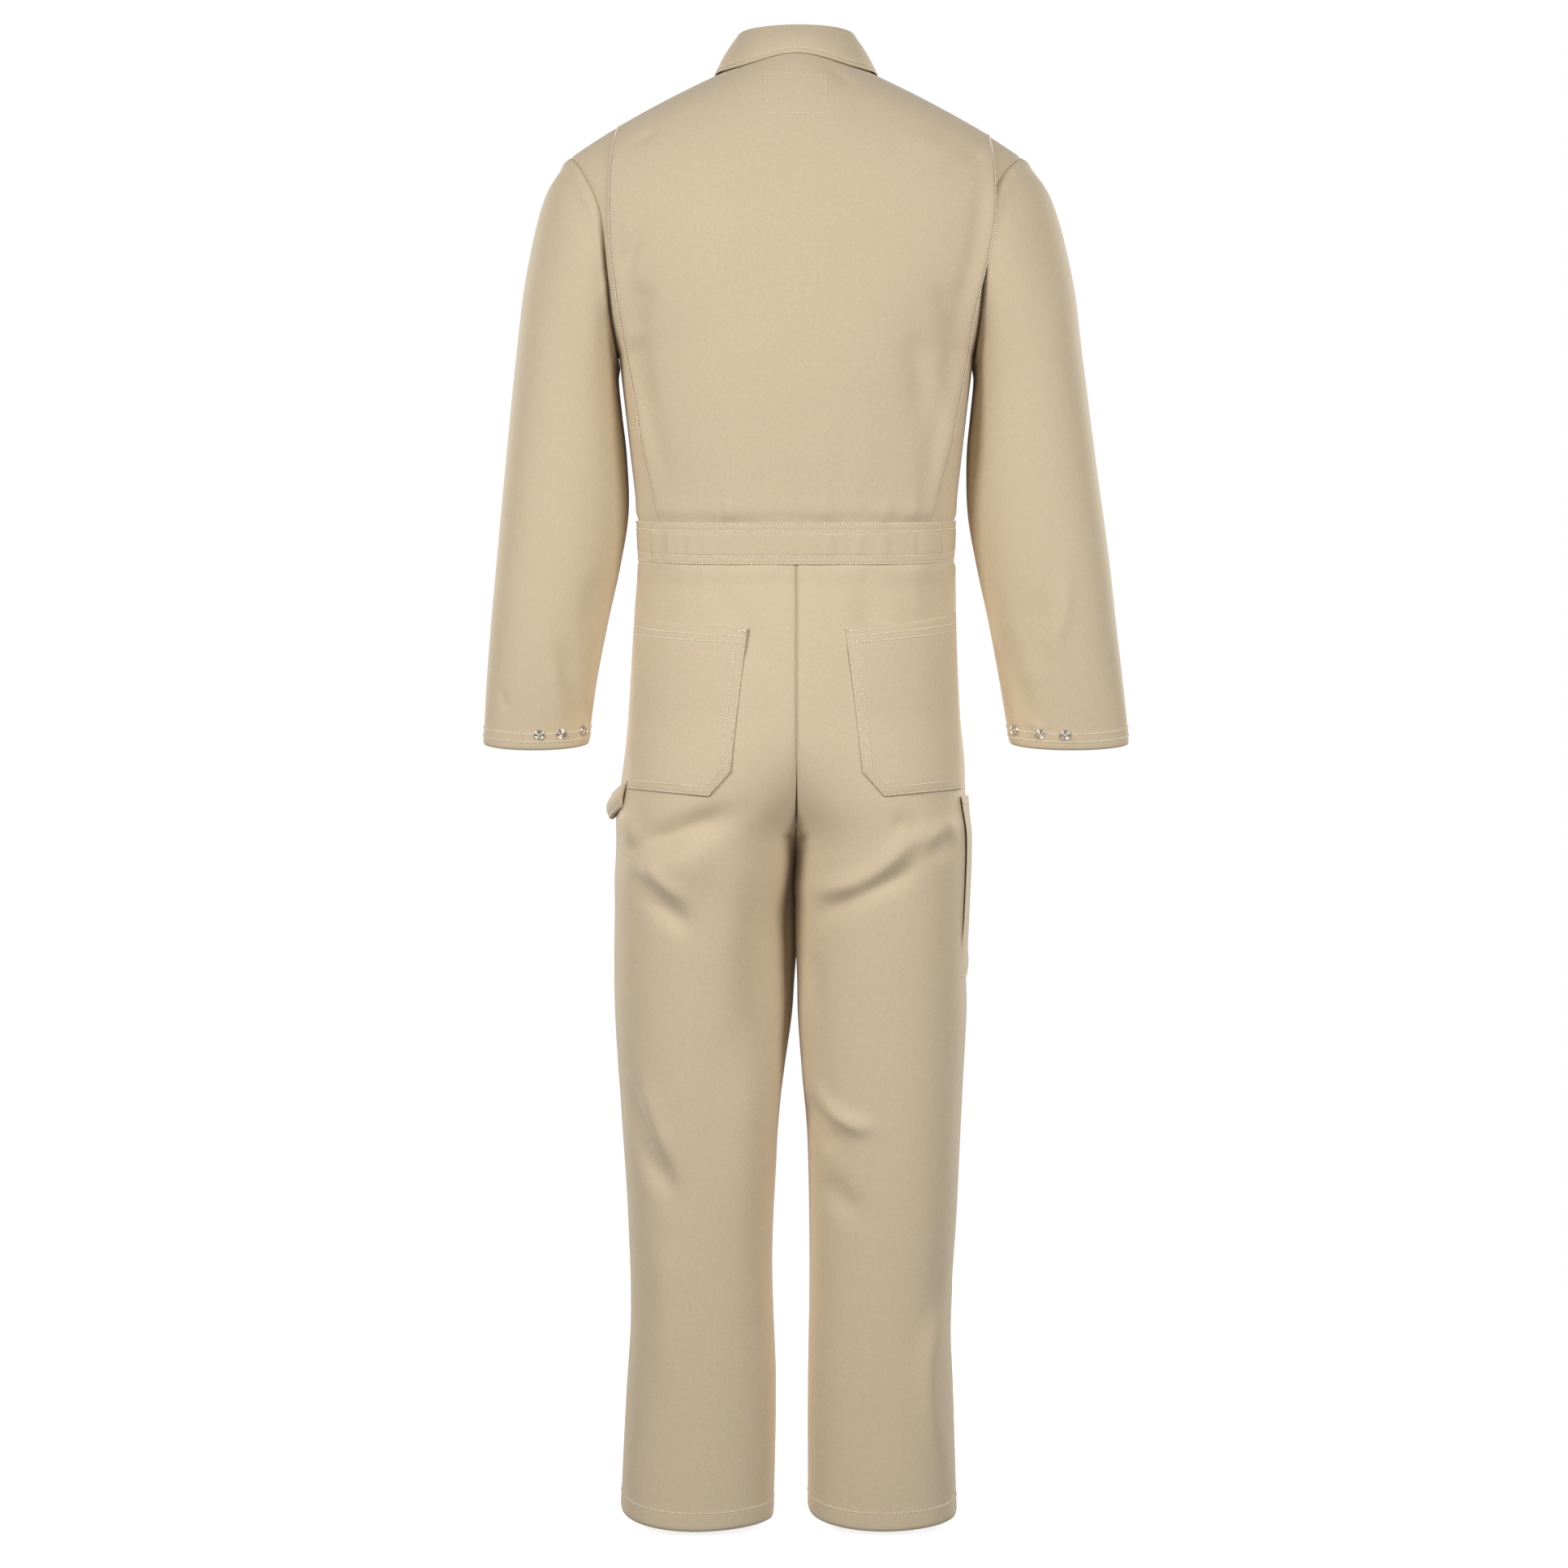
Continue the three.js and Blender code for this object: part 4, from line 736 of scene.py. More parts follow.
def metal_material(name, colour, roughness, wear):
    """Plated or cast metal: bright on handled edges, dulled in the hollows, with fine tumbling marks."""
    material, tree = new_material(name)
    at = add_node(tree, "ShaderNodeTexCoord")
    marks = add_node(tree, "ShaderNodeTexNoise", {"Scale": 900.0, "Detail": 4.0, "Roughness": 0.6},
                     {"Vector": at.outputs["Object"]})
    tarnish = add_node(tree, "ShaderNodeTexNoise", {"Scale": 120.0, "Detail": 3.0}, {"Vector": at.outputs["Object"]})
    tone = two_tones(tree, tarnish, shaded(colour, 1 - wear), colour)
    rough = add_node(tree, "ShaderNodeMapRange", {"From Min": 0.3, "From Max": 0.7, "To Min": roughness,
                                                  "To Max": roughness + 0.15}, {"Value": marks.outputs["Fac"]})
    bump = add_node(tree, "ShaderNodeBump", {"Strength": 0.12, "Distance": 0.0001}, {"Height": marks.outputs["Fac"]})
    shader = add_node(tree, "ShaderNodeBsdfPrincipled", {"Metallic": 1.0}, {
        "Base Color": tone.outputs[2], "Roughness": rough.outputs["Result"], "Normal": bump.outputs["Normal"]})
    finish_material(tree, shader)
    return material


def woven_material(name, colour, rows_mm, direction):
    """Narrow woven goods such as zip tape, elastic and label satin: fine ribs one way, matt."""
    material, tree = new_material(name)
    uv = add_node(tree, "ShaderNodeUVMap", {"uv_map": "cloth"})
    ribs = add_node(tree, "ShaderNodeTexWave", {"bands_direction": direction, "Scale": 314 / rows_mm,
                                                "Distortion": 0.3}, {"Vector": uv.outputs["UV"]})
    tone = two_tones(tree, ribs, shaded(colour, 0.86), colour)
    bump = add_node(tree, "ShaderNodeBump", {"Strength": 0.5, "Distance": 0.0003}, {"Height": ribs.outputs["Fac"]})
    shader = add_node(tree, "ShaderNodeBsdfPrincipled", {"Roughness": 0.85, "Sheen Weight": 0.15},
                      {"Base Color": tone.outputs[2], "Normal": bump.outputs["Normal"]})
    finish_material(tree, shader)
    return material


def finish_of(kind):
    """The material of a kind, made once."""
    colours = bpy.context.scene.coverall_colours
    if kind in bpy.data.materials:
        return bpy.data.materials[kind]
    makers = {
        "poly-cotton twill": lambda: twill_material(kind, colours.twill),
        "polyester thread": lambda: thread_material(kind, colours.thread),
        "woven zip tape": lambda: woven_material(kind, colours.tape, 1.2, "Y"),
        "knitted elastic": lambda: woven_material(kind, colours.elastic, 2.0, "Y"),
        "woven label satin": lambda: woven_material(kind, colours.label, 0.8, "X"),
        "cast brass": lambda: metal_material(kind, colours.brass, 0.28, 0.35),
        "nickel-plated brass": lambda: metal_material(kind, colours.nickel, 0.16, 0.2),
    }
    return makers[kind]()


# ---- Pieces -------------------------------------------------------------------------------------
# Rows of stitches wait here, by body, until make_stitches bakes them. Later pieces lie on the cloth of earlier ones.
stitch_paths = {"root": [], "sleeve_left": [], "sleeve_right": [], "chest_flap_left": [], "chest_flap_right": []}
sleeve_cloth, trouser_cloth = {}, {}


def sew(body, path, lift=0.35):
    """Keeps a row of stitches for later: points and normals along it, in millimetres."""
    points, normals = path
    stitch_paths[body].append((points + normals * lift, normals))


def add_cloth(name, cloth, node, body="root", thickness=CLOTH, finish="poly-cotton twill"):
    """Makes a sheet of cloth that stands for a node. flat is its width, length and area when cut, in metres."""
    mesh = shell_mesh(name, cloth, thickness, hanging=body == "root")
    piece = new_object(name, mesh, finish_of(finish))
    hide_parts(node)
    return piece


def spread(low, high, step):
    return np.linspace(low, high, max(2, int(round(abs(high - low) / step)) + 1))


def rows_up(count):
    return np.sin(np.linspace(0, 1, count) * math.pi / 2)


BACK_FOLDS = [
    ([(173, 1429), (184, 1406), (193, 1381)], 9, 3.2),
    ([(165, 1429), (174, 1400), (184, 1375)], 8, -2.9),
    ([(161, 1361), (169, 1330), (176, 1301)], 13, -4.4),
    ([(174, 1308), (168, 1262), (160, 1200)], 9, -3.8),
    ([(-125, 1310), (-132, 1256), (-141, 1201)], 16, -4.4),
    ([(-147, 1358), (-164, 1326), (-174, 1294)], 12, -3.8),
    ([(-150, 1270), (-158, 1220), (-152, 1160)], 12, 3.2),
    ([(-29, 1598), (-47, 1585), (-63, 1571)], 8, -2.1),
    ([(181, 1510), (165, 1517), (149, 1526)], 7, -2.1),
    ([(-150, 1470), (-186, 1491), (-209, 1503)], 9, -2.9),
    ([(-110, 1520), (-150, 1500), (-200, 1480)], 14, 2.1),
]
SEAT_FOLDS = {
    LEFT: [
        ([(186, 742), (141, 758), (102, 772), (58, 788)], 15, -12.1),
        ([(180, 716), (130, 728), (80, 736)], 30, 8.1),
        ([(192, 790), (182, 768), (172, 748)], 10, 4.6),
        ([(186, 728), (158, 699), (132, 673), (112, 655)], 12, -8.1),
        ([(172, 736), (145, 710), (112, 686)], 10, 4.9),
        ([(16, 755), (8, 757), (0, 758)], 4, -2.6),
        ([(70, 1040), (60, 1000), (20, 930)], 16, -3.2),
        ([(190, 500), (172, 446), (150, 395), (131, 363)], 13, -9.5),
        ([(172, 500), (156, 446), (134, 396)], 12, 4.4),
        ([(60, 640), (45, 523), (50, 435), (56, 259)], 26, 5.9),
        ([(2, 745), (20, 655), (36, 560), (50, 440)], 38, -17.0),
        ([(150, 330), (140, 250), (146, 120)], 22, 4.0),
    ],
    RIGHT: [
        ([(4, 704), (46, 702), (83, 717), (109, 743), (131, 769)], 12, 8.7),
        ([(20, 655), (38, 680), (69, 698), (109, 718), (133, 740)], 12, -8.2),
        ([(98, 778), (119, 771), (136, 762)], 12, -4.2),
        ([(134, 748), (156, 767), (176, 776)], 10, 4.4),
        ([(140, 735), (160, 748), (176, 756)], 10, -4.8),
        ([(16, 755), (8, 757), (0, 758)], 4, -2.4),
        ([(70, 1040), (80, 1000), (60, 930)], 16, -2.9),
        ([(12, 500), (33, 463), (64, 446), (86, 443)], 10, 7.7),
        ([(14, 480), (30, 440), (51, 415)], 13, -7.3),
        ([(25, 390), (47, 365), (76, 342)], 16, -4.8),
        ([(169, 252), (152, 215), (144, 171), (148, 119), (166, 50)], 12, 5.7),
        ([(14, 640), (20, 603), (21, 560)], 8, -3.9),
    ],
}
FRONT_FOLDS = [
    ([(150, 1420), (120, 1380), (70, 1350)], 16, -1.6),
    ([(170, 1250), (130, 1220), (60, 1210)], 18, -1.6),
    ([(165, 1190), (120, 1170), (50, 1150)], 16, 1.6),
    ([(160, 1140), (110, 1150)], 12, -1.2),
]
LEG_FRONT_FOLDS = [
    ([(15, 790), (60, 815), (120, 850), (170, 880)], 13, -3.4),
    ([(12, 775), (70, 785), (140, 815), (185, 850)], 12, 3.4),
    ([(15, 740), (70, 735), (140, 760)], 14, -2.6),
    ([(180, 500), (130, 455), (60, 440)], 14, 3.1),
    ([(178, 470), (120, 420), (60, 405)], 14, -2.9),
    ([(30, 200), (60, 120), (90, 60)], 16, 2.1),
    ([(150, 240), (160, 140), (150, 60)], 14, 2.1),
]


def seam_dip(distance, depth=1.1, width=3.0):
    """The cloth turns in where it is sewn to its neighbour."""
    return -depth * bell(distance, width)


def tuck_under(distance):
    """The cloth is a little inside the waistband where it is sewn under it, and swells out away from it."""
    return -0.9 * smooth((1.2 - distance) / 2.4) + 0.7 * bell(distance - 11, 8)


def make_bodice():
    top = np.array([pleat_edge[s](NECK_Z) for s in (RIGHT, LEFT)])
    columns = np.concatenate([-spread(top[0], NECK_HALF, 3.2), -spread(NECK_HALF, 0, 3.0)[1:],
                              spread(0, NECK_HALF, 3.0)[1:], spread(NECK_HALF, top[1], 3.2)[1:]])
    v = rows_up(172)[:, None]
    z = mix(WAIST_TOP - UNDER_BAND, top_edge(BACK, columns)[None, :], v)
    x = np.where(columns < 0, columns * pleat_edge[RIGHT](z) / top[0], columns * pleat_edge[LEFT](z) / top[1])
    beside = np.where(x > 0, pleat_edge[LEFT](z) - x, pleat_edge[RIGHT](z) + x)
    left_open, right_open = smooth((1440 - z) / 60), smooth((1500 - z) / 80)
    shut = smooth((z - WAIST_TOP) / 90)
    stand = np.where(x > 0, left_open, right_open) * shut
    lift = PLEAT_LIFT + np.where(x > 0, 3.2, 5.0) * stand * bell(beside, 9)
    lift = lift - 1.5 * stand * bell(beside - 16, 9)
    lift = lift * (0.12 + 0.88 * smooth((shoulder_line(x) - z) / 45))
    cloth = Cloth(lifted_body(BACK, x, z, lift), np.array([0, 1.0, 0.2]))
    gather = ripples(x[0] * 1.0, 11, 17)[None, :] * bell(z - WAIST_TOP, 26) * 1.6
    gather = (gather + ripples(x, 12, 34) * bell(z - WAIST_TOP, 80) * 1.6) * smooth((z - WAIST_TOP) / 7)
    cloth.push(folds(x, z, BACK_FOLDS) + gentle(x, z, 3, 46, 0.8) * smooth((1590 - z) / 60) + gather
               + tuck_under(z - WAIST_TOP) - PLEAT_LIFT * smooth((WAIST_TOP + 14 - z) / 14))
    top_gap = np.where(np.abs(x) > NECK_HALF, shoulder_line(x) - z, 1e3)
    cloth.draw_in(1, -0.8, top_gap, 0.5)
    thickness = CLOTH + 1.2 * bell(beside, 10)
    add_cloth("back_cloth", cloth, "back_panel", thickness=thickness)
    for last in (False, True):
        sew("root", cloth.beside_column(last, 1.6, 0.14, 1.0))
    sew("root", label_outline())

    for side, word in SIDES:
        u, v = np.meshgrid(np.linspace(0, 1, 34), rows_up(170))
        edge = pleat_edge[side]
        tuck = 12.0
        top_x = mix(edge(NECK_Z) - tuck, SHOULDER_HALF, u)
        z = mix(WAIST_TOP - UNDER_BAND, shoulder_line(top_x), v)
        outer = np.where(z < UNDERARM_Z, body_half(z), armhole_x(z) - armhole_scoop[side](z) - 0.3)
        inner = np.minimum(edge(z) - tuck, outer - 4)
        x = mix(inner, outer, u)
        cloth = Cloth(body_point(BACK, side * x, z), np.array([0.3 * side, 1.0, 0.2]))
        sunk = -1.6 * smooth((edge(z) + 6 - x) / 10) * smooth((1600 - z) / 200)
        cloth.push(sunk + seam_dip(outer - x, 1.0, 4.0) + gentle(x * side, z, 8 + side, 30, 0.5)
                   + ripples(x, 20 + side, 15) * bell(z - WAIST_TOP, 22) * smooth((z - WAIST_TOP) / 7)
                   + tuck_under(z - WAIST_TOP))
        cloth.draw_in(1, -0.8, shoulder_line(x) - z, 0.5)
        cloth.draw_in(1, -0.5, np.where(z < UNDERARM_Z - 2, outer - x, 1e3), 0.6)
        add_cloth(f"back_side_cloth_{word}", cloth, f"back_side_{word}")

        u, v = np.meshgrid(np.linspace(0, 1, 92), rows_up(160))
        top_x = np.where(u < 0.4, mix(FLY_EDGE, NECK_HALF, u / 0.4),
                         mix(NECK_HALF, SHOULDER_HALF, np.sin(np.clip((u - 0.4) / 0.6, 0, 1) * math.pi / 2)))
        z = mix(WAIST_TOP - UNDER_BAND, top_edge(FRONT, top_x), v)
        share = (top_x - FLY_EDGE) / (SHOULDER_HALF - FLY_EDGE)
        outer = np.where(z < UNDERARM_Z, body_half(z), armhole_x(z) - armhole_scoop[side](z) - 0.3)
        x = mix(FLY_EDGE, outer, share)
        cloth = Cloth(body_point(FRONT, side * x, z), np.array([0.2 * side, -1.0, 0.2]))
        calm = smooth((x - 30) / 30)
        cloth.push(calm * (folds(x, z, FRONT_FOLDS) + gentle(x * side, z, 30 + side, 50, 1.2))
                   + ripples(x, 40 + side, 19) * bell(z - WAIST_TOP, 30) * smooth((z - WAIST_TOP) / 7) * calm
                   + seam_dip(outer - x, 1.0, 4.0) + tuck_under(z - WAIST_TOP) + seam_dip(x - 42, 0.5, 1.6))
        cloth.draw_in(1, 0.8, np.where(x > NECK_HALF - 2, shoulder_line(x) - z, 1e3), 0.5)
        cloth.draw_in(1, 0.5, np.where(z < UNDERARM_Z - 2, outer - x, 1e3), 0.6)
        thickness = CLOTH + 1.0 * smooth((44 - x) / 4)
        add_cloth(f"front_cloth_{word}", cloth, f"front_panel_{word}", thickness=thickness)
        for inset in (1.8, 8.0, 33.0):
            sew("root", cloth.beside_column(False, inset, 0.0, 0.985))


def label_outline():
    """The stitched outline of the label that is sewn inside the neck."""
    corners = [(32, 1583), (-31, 1582), (-33, 1536), (32, 1537), (32, 1583)]
    wobble = [0.8, -0.6, 0.5, -0.7]
    xs, zs = [], []
    for (a, b), bend in zip(zip(corners[:-1], corners[1:]), wobble):
        t = np.linspace(0, 1, 40)
        xs.append(mix(a[0], b[0], t) + bend * np.sin(t * 7) * (a[0] == b[0]))
        zs.append(mix(a[1], b[1], t) + bend * np.sin(t * math.pi * 2))
    x, z = np.concatenate(xs), np.concatenate(zs)
    lift = PLEAT_LIFT * (0.12 + 0.88 * smooth((shoulder_line(x) - z) / 45))
    points = lifted_body(BACK, x, z, lift)
    normal = surface_normal(lambda px, pz: body_point(BACK, px, pz), BACK, x, z)
    return points + normal * (folds(x, z, BACK_FOLDS) + gentle(x, z, 3, 46, 0.8)
                              * smooth((1590 - z) / 60))[:, None], normal


SLEEVE_FOLDS = {
    LEFT: [([(258, 985), (250, 940), (238, 901), (228, 876)], 13, -5.0),
           ([(270, 960), (262, 915), (250, 880)], 12, 2.2),
           ([(327, 924), (322, 909), (318, 894)], 5, -1.4),
           ([(217, 1051), (223, 1015), (229, 971)], 12, -2.8)],
    RIGHT: [([(294, 1060), (292, 1004), (283, 973), (281, 940)], 9, 3.1),
            ([(268, 1040), (262, 980), (258, 930)], 18, -3.4),
            ([(219, 1000), (237, 945), (248, 909), (254, 880)], 12, -3.4),
            ([(258, 888), (264, 879), (271, 870)], 5, 1.7),
            ([(292, 879), (299, 869), (305, 858)], 5, 1.4)],
}
SLEEVE_FRONT_FOLDS = [
    ([(215, 1190), (245, 1160), (290, 1150)], 13, -3.6),
    ([(210, 1150), (250, 1125), (305, 1120)], 13, 3.4),
    ([(215, 1110), (255, 1090), (300, 1095)], 12, -3.1),
    ([(300, 1000), (290, 940), (300, 890)], 12, 2.2),
    ([(212, 1290), (232, 1240), (236, 1180)], 12, -2.5),
]


def make_sleeves():
    for side, word in SIDES:
        columns = 148
        turn, v = np.meshgrid(np.arange(columns) / columns * 2 * math.pi, np.linspace(0, 1, 200) ** 0.92)
        points = sleeve_point(side, turn, v)
        inward = unit(points[0].mean(axis=0) - points[0])
        under = [points[0] - ARMHOLE_NORMAL * [side, 1, 1] * k * 2.5 + inward * (1.2 + 0.4 * k) for k in (3, 2, 1)]
        points = np.concatenate([under, points])
        turn, v = np.concatenate([turn[:3], turn]), np.concatenate([v[:3], v])
        outward = vec(side * np.cos(turn), np.sin(turn), 0 * turn)
        cloth = Cloth(points, outward, closed=True)
        x, z = side * points[..., 0], points[..., 2]
        back = smooth(np.sin(turn) / 0.25)
        front = smooth(-np.sin(turn) / 0.25)
        _, drop = cloth.lengths()
        hem = drop[-1] - drop
        drop = drop - drop[3]
        cap = smooth(drop / 20)
        sewn = smooth(drop / 3 + 1)
        head_ease = ripples(np.broadcast_to(np.arange(columns) * 4.6, drop.shape), 60 + side, 14)
        cloth.push(back * folds(x, z, SLEEVE_FOLDS[side]) * smooth(hem / 12) + front * folds(x, z, SLEEVE_FRONT_FOLDS)
                   + gentle(x * side + 80 * np.sin(turn), z, 50 + side, 60, 0.9) * cap * smooth(hem / 30)
                   + 1.8 * bell(drop - 9, 7) + seam_dip(drop, 1.2, 3.5)
                   + head_ease * 0.5 * bell(drop - 12, 12)
                   + 0.35 * smooth((20 - hem) / 2) + seam_dip(hem - 21, 0.3, 1.2))
        cloth.push(-0.6 * (1 - sewn))
        thickness = CLOTH + 0.9 * smooth((21 - hem) / 2)
        piece = add_cloth(f"sleeve_cloth_{word}", cloth, f"sleeve_{word}", body=f"sleeve_{word}",
                          thickness=thickness)
        sleeve_cloth[side] = cloth
        bend_sleeve(piece, side)
        for inset in CUFF_ROWS:
            sew(f"sleeve_{word}", cloth.beside_row(True, inset))


def bend_sleeve(piece, side):
    """The sleeve turns with the arm below the armhole and stays sewn to the body round it."""
    word = "left" if side == LEFT else "right"
    direction = np.array([side * 0.96, 0, -0.28])
    head = place(sleeve_point(side, np.linspace(0, 2 * math.pi, 200), np.zeros(200)), hanging=False)
    start = float(np.max(head @ direction)) + BEND_START
    low, high = direction * start, direction * (start + BEND_REACH)
    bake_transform(piece, "root", f"sleeve_{word}", start=tuple(low), end=tuple(high))


def collar_turns(count):
    u = np.linspace(0, 1, count)
    side = np.where(u < 0.5, RIGHT, LEFT)
    front_turn = math.pi - math.asin((FLY_EDGE + 1) / NECK_HALF)
    return side, np.abs(u - 0.5) * 2 * front_turn, front_turn


def neck_seam(turn):
    x = NECK_HALF * np.sin(turn)
    back = body_point(BACK, x, back_neck_z(x, NECK_HALF, NECK_BACK))
    front = body_point(FRONT, x, front_neck_z(x))
    return np.where((turn <= math.pi / 2)[..., None], back, front)


def fold_line(turn):
    ahead = np.clip((turn - math.pi / 2) / (math.pi / 2), 0, 1)
    rise = mix(COLLAR_HEIGHT, COLLAR_FRONT_RISE - NECK_DROP, ahead ** 1.5)
    depth = np.where(turn <= math.pi / 2, COLLAR_BACK, FRONT_DEPTH)
    narrow = mix(COLLAR_HALF, NECK_HALF, ahead ** 3)
    return vec(narrow * np.sin(turn), depth * np.cos(turn), NECK_Z + rise)


def leaf_edge(turn, front_turn):
    back_lift = 3.2
    x = (NECK_HALF + 5) * np.sin(turn)
    z = back_neck_z(x, NECK_HALF + 5, NECK_BACK + 14) - 0.01
    back = lifted_body(BACK, x, z, np.full(x.shape, back_lift))
    ahead = np.clip((turn - math.pi / 2) / (front_turn - math.pi / 2), 0, 1)
    x = NECK_HALF + 5 + 10 * np.sin(ahead * math.pi) - (NECK_HALF + 5 - COLLAR_SPREAD) * ahead ** 2
    z = mix(shoulder_line(np.array(NECK_HALF + 5.0)), NECK_Z - COLLAR_POINT_DROP, ahead ** 1.15)
    z = np.minimum(z, shoulder_line(x)) - 0.01
    front = lifted_body(FRONT, x, z, mix(back_lift, 3.4, ahead))
    return np.where((turn <= math.pi / 2)[..., None], back, front)


def make_collar():
    side, turn, front_turn = collar_turns(220)
    out = vec(side * np.sin(turn), np.cos(turn), 0.3 * np.ones_like(turn))
    v = np.linspace(0, 1, 22)[:, None, None]
    seam, top = neck_seam(turn), fold_line(turn)
    around = vec(np.sin(turn), np.cos(turn), np.ones_like(turn))
    stand = mix(seam[None], (top - around * 3.2)[None], v)
    foot = seam[None, :, 2] + 1.0
    stand[..., 2] = np.maximum(stand[..., 2], mix(foot, stand[..., 2], v[..., 0]))
    stand[..., 0] *= side
    add_cloth("collar_stand_cloth", Cloth(stand, out[None]), "collar_stand")

    v = np.linspace(0, 1, 30)[:, None, None]
    roll = np.sin(v * math.pi)
    leaf = mix(top[None], leaf_edge(turn, front_turn)[None], v)
    leaf = leaf + around[None] * roll * np.array([1.2, 4.0, 1.6])
    crest = bell(v, 0.09)
    leaf[..., 2] += 1.2 * crest[..., 0]
    leaf[..., 0] *= side
    cloth = Cloth(leaf, out[None])
    across, down = cloth.lengths()
    edge = down[-1] - down
    ends = np.minimum(across, across[:, -1:] - across)
    cloth.push(gentle(leaf[..., 0] * 1.5, leaf[..., 2], 71, 30, 0.5) - 0.5 * bell(edge - COLLAR_ROW, 1.6)
               - 0.4 * bell(ends - COLLAR_ROW, 1.6) + 0.8 * bell(edge, 3))
    thickness = 1.9 - 0.3 * smooth(edge / 5)
    add_cloth("collar_leaf_cloth", cloth, "collar_leaf", thickness=thickness)
    sew("root", cloth.beside_row(True, COLLAR_ROW, 0.012, 0.988))
    for last in (False, True):
        sew("root", cloth.beside_column(last, COLLAR_ROW, 0.2, 0.97))


def band_grid(face, turn, z, inset):
    half = body_half(z) - inset
    depth = (back_fullness(z) if face == BACK else FRONT_DEPTH) - inset
    x = half * np.cos(turn)
    share = np.minimum(1, np.abs(x) / half)
    return vec(x, face * (depth * rounded(share, BODY_ROUND) + SEAM / 2), z)


def make_waistband():
    def relief(x, z, seed, across):
        """Gathers between the stitch rows, pulled flat on the rows themselves."""
        rows = (WAIST_LOW + 1.5, WAIST_LOW + 9.5, WAIST_TOP - 9.0, WAIST_TOP - 1.0)
        held = sum(bell(z - row, 1.5) for row in rows)
        puff = 0.55 * smooth((z - WAIST_LOW - 9) / 5) * smooth((WAIST_TOP - 9 - z) / 5)
        gathers = ripples(x, seed, 11) * (0.25 + 1.1 * puff) + ripples(x + 5, seed + 1, 23) * 0.5
        edge = np.minimum(z - WAIST_LOW, WAIST_TOP - z)
        return 1.5 * across * gathers + puff * 0.6 - 0.5 * held - 0.6 * np.exp(-edge / 0.8)

    turn, z = np.meshgrid(np.linspace(math.pi, 0, 200), np.linspace(WAIST_LOW + SEAM, WAIST_TOP - SEAM, 34))
    cloth = Cloth(band_grid(BACK, turn, z, 0), vec(np.cos(turn), np.sin(turn), 0 * turn))
    x = cloth.points[..., 0]
    gathered = smooth((172 - np.abs(x)) / 25)
    cloth.push(relief(x, z, 81, 0.35 + 0.65 * gathered) + 0.6)
    add_cloth("waistband_back_cloth", cloth, "waistband_back", thickness=1.6)
    for inset in BAND_ROWS:
        sew("root", cloth.beside_row(False, inset))
        sew("root", cloth.beside_row(True, inset - 0.5))
    for share in (0.14, 0.86):
        rows = np.linspace(1, 32, 60)
        sew("root", cloth.sample(rows, np.full(60, share * 199)))
    for side, word in SIDES:
        u, z = np.meshgrid(np.linspace(0, 1, 90), np.linspace(WAIST_LOW + SEAM, WAIST_TOP - SEAM, 30))
        x = mix(FLY_EDGE, body_half(z), np.sin(u * math.pi / 2))
        turn = np.arccos(np.clip(x / body_half(z), 0, 1))
        points = band_grid(FRONT, turn, z, 0)
        points[..., 0] *= side
        cloth = Cloth(points, vec(side * np.cos(turn), -np.sin(turn), 0 * turn))
        calm = smooth((x - 40) / 30)
        cloth.push(relief(x * side, z, 91 + side, 0.5 * calm) + 0.6)
        add_cloth(f"waistband_front_cloth_{word}", cloth, f"waistband_front_{word}", thickness=1.6)
        for inset in BAND_ROWS:
            sew("root", cloth.beside_row(False, inset, 0.02, 1.0))
            sew("root", cloth.beside_row(True, inset - 0.5, 0.02, 1.0))
    turn, z = np.meshgrid(np.linspace(0.9, 0.1, 90) * math.pi, np.linspace(WAIST_LOW + 4, WAIST_TOP - 4, 12))
    cloth = Cloth(band_grid(BACK, turn, z, 3.4), vec(np.cos(turn), np.sin(turn), 0 * turn))
    cloth.push(ripples(cloth.points[..., 0], 95, 9) * 0.4)
    add_cloth("waist_elastic_strip", cloth, "waist_elastic",
              finish="knitted elastic")


# The hems curve up towards the inner and the outer seam.
HEM_RISE = {LEFT: (4, 16), RIGHT: (13, 7)}


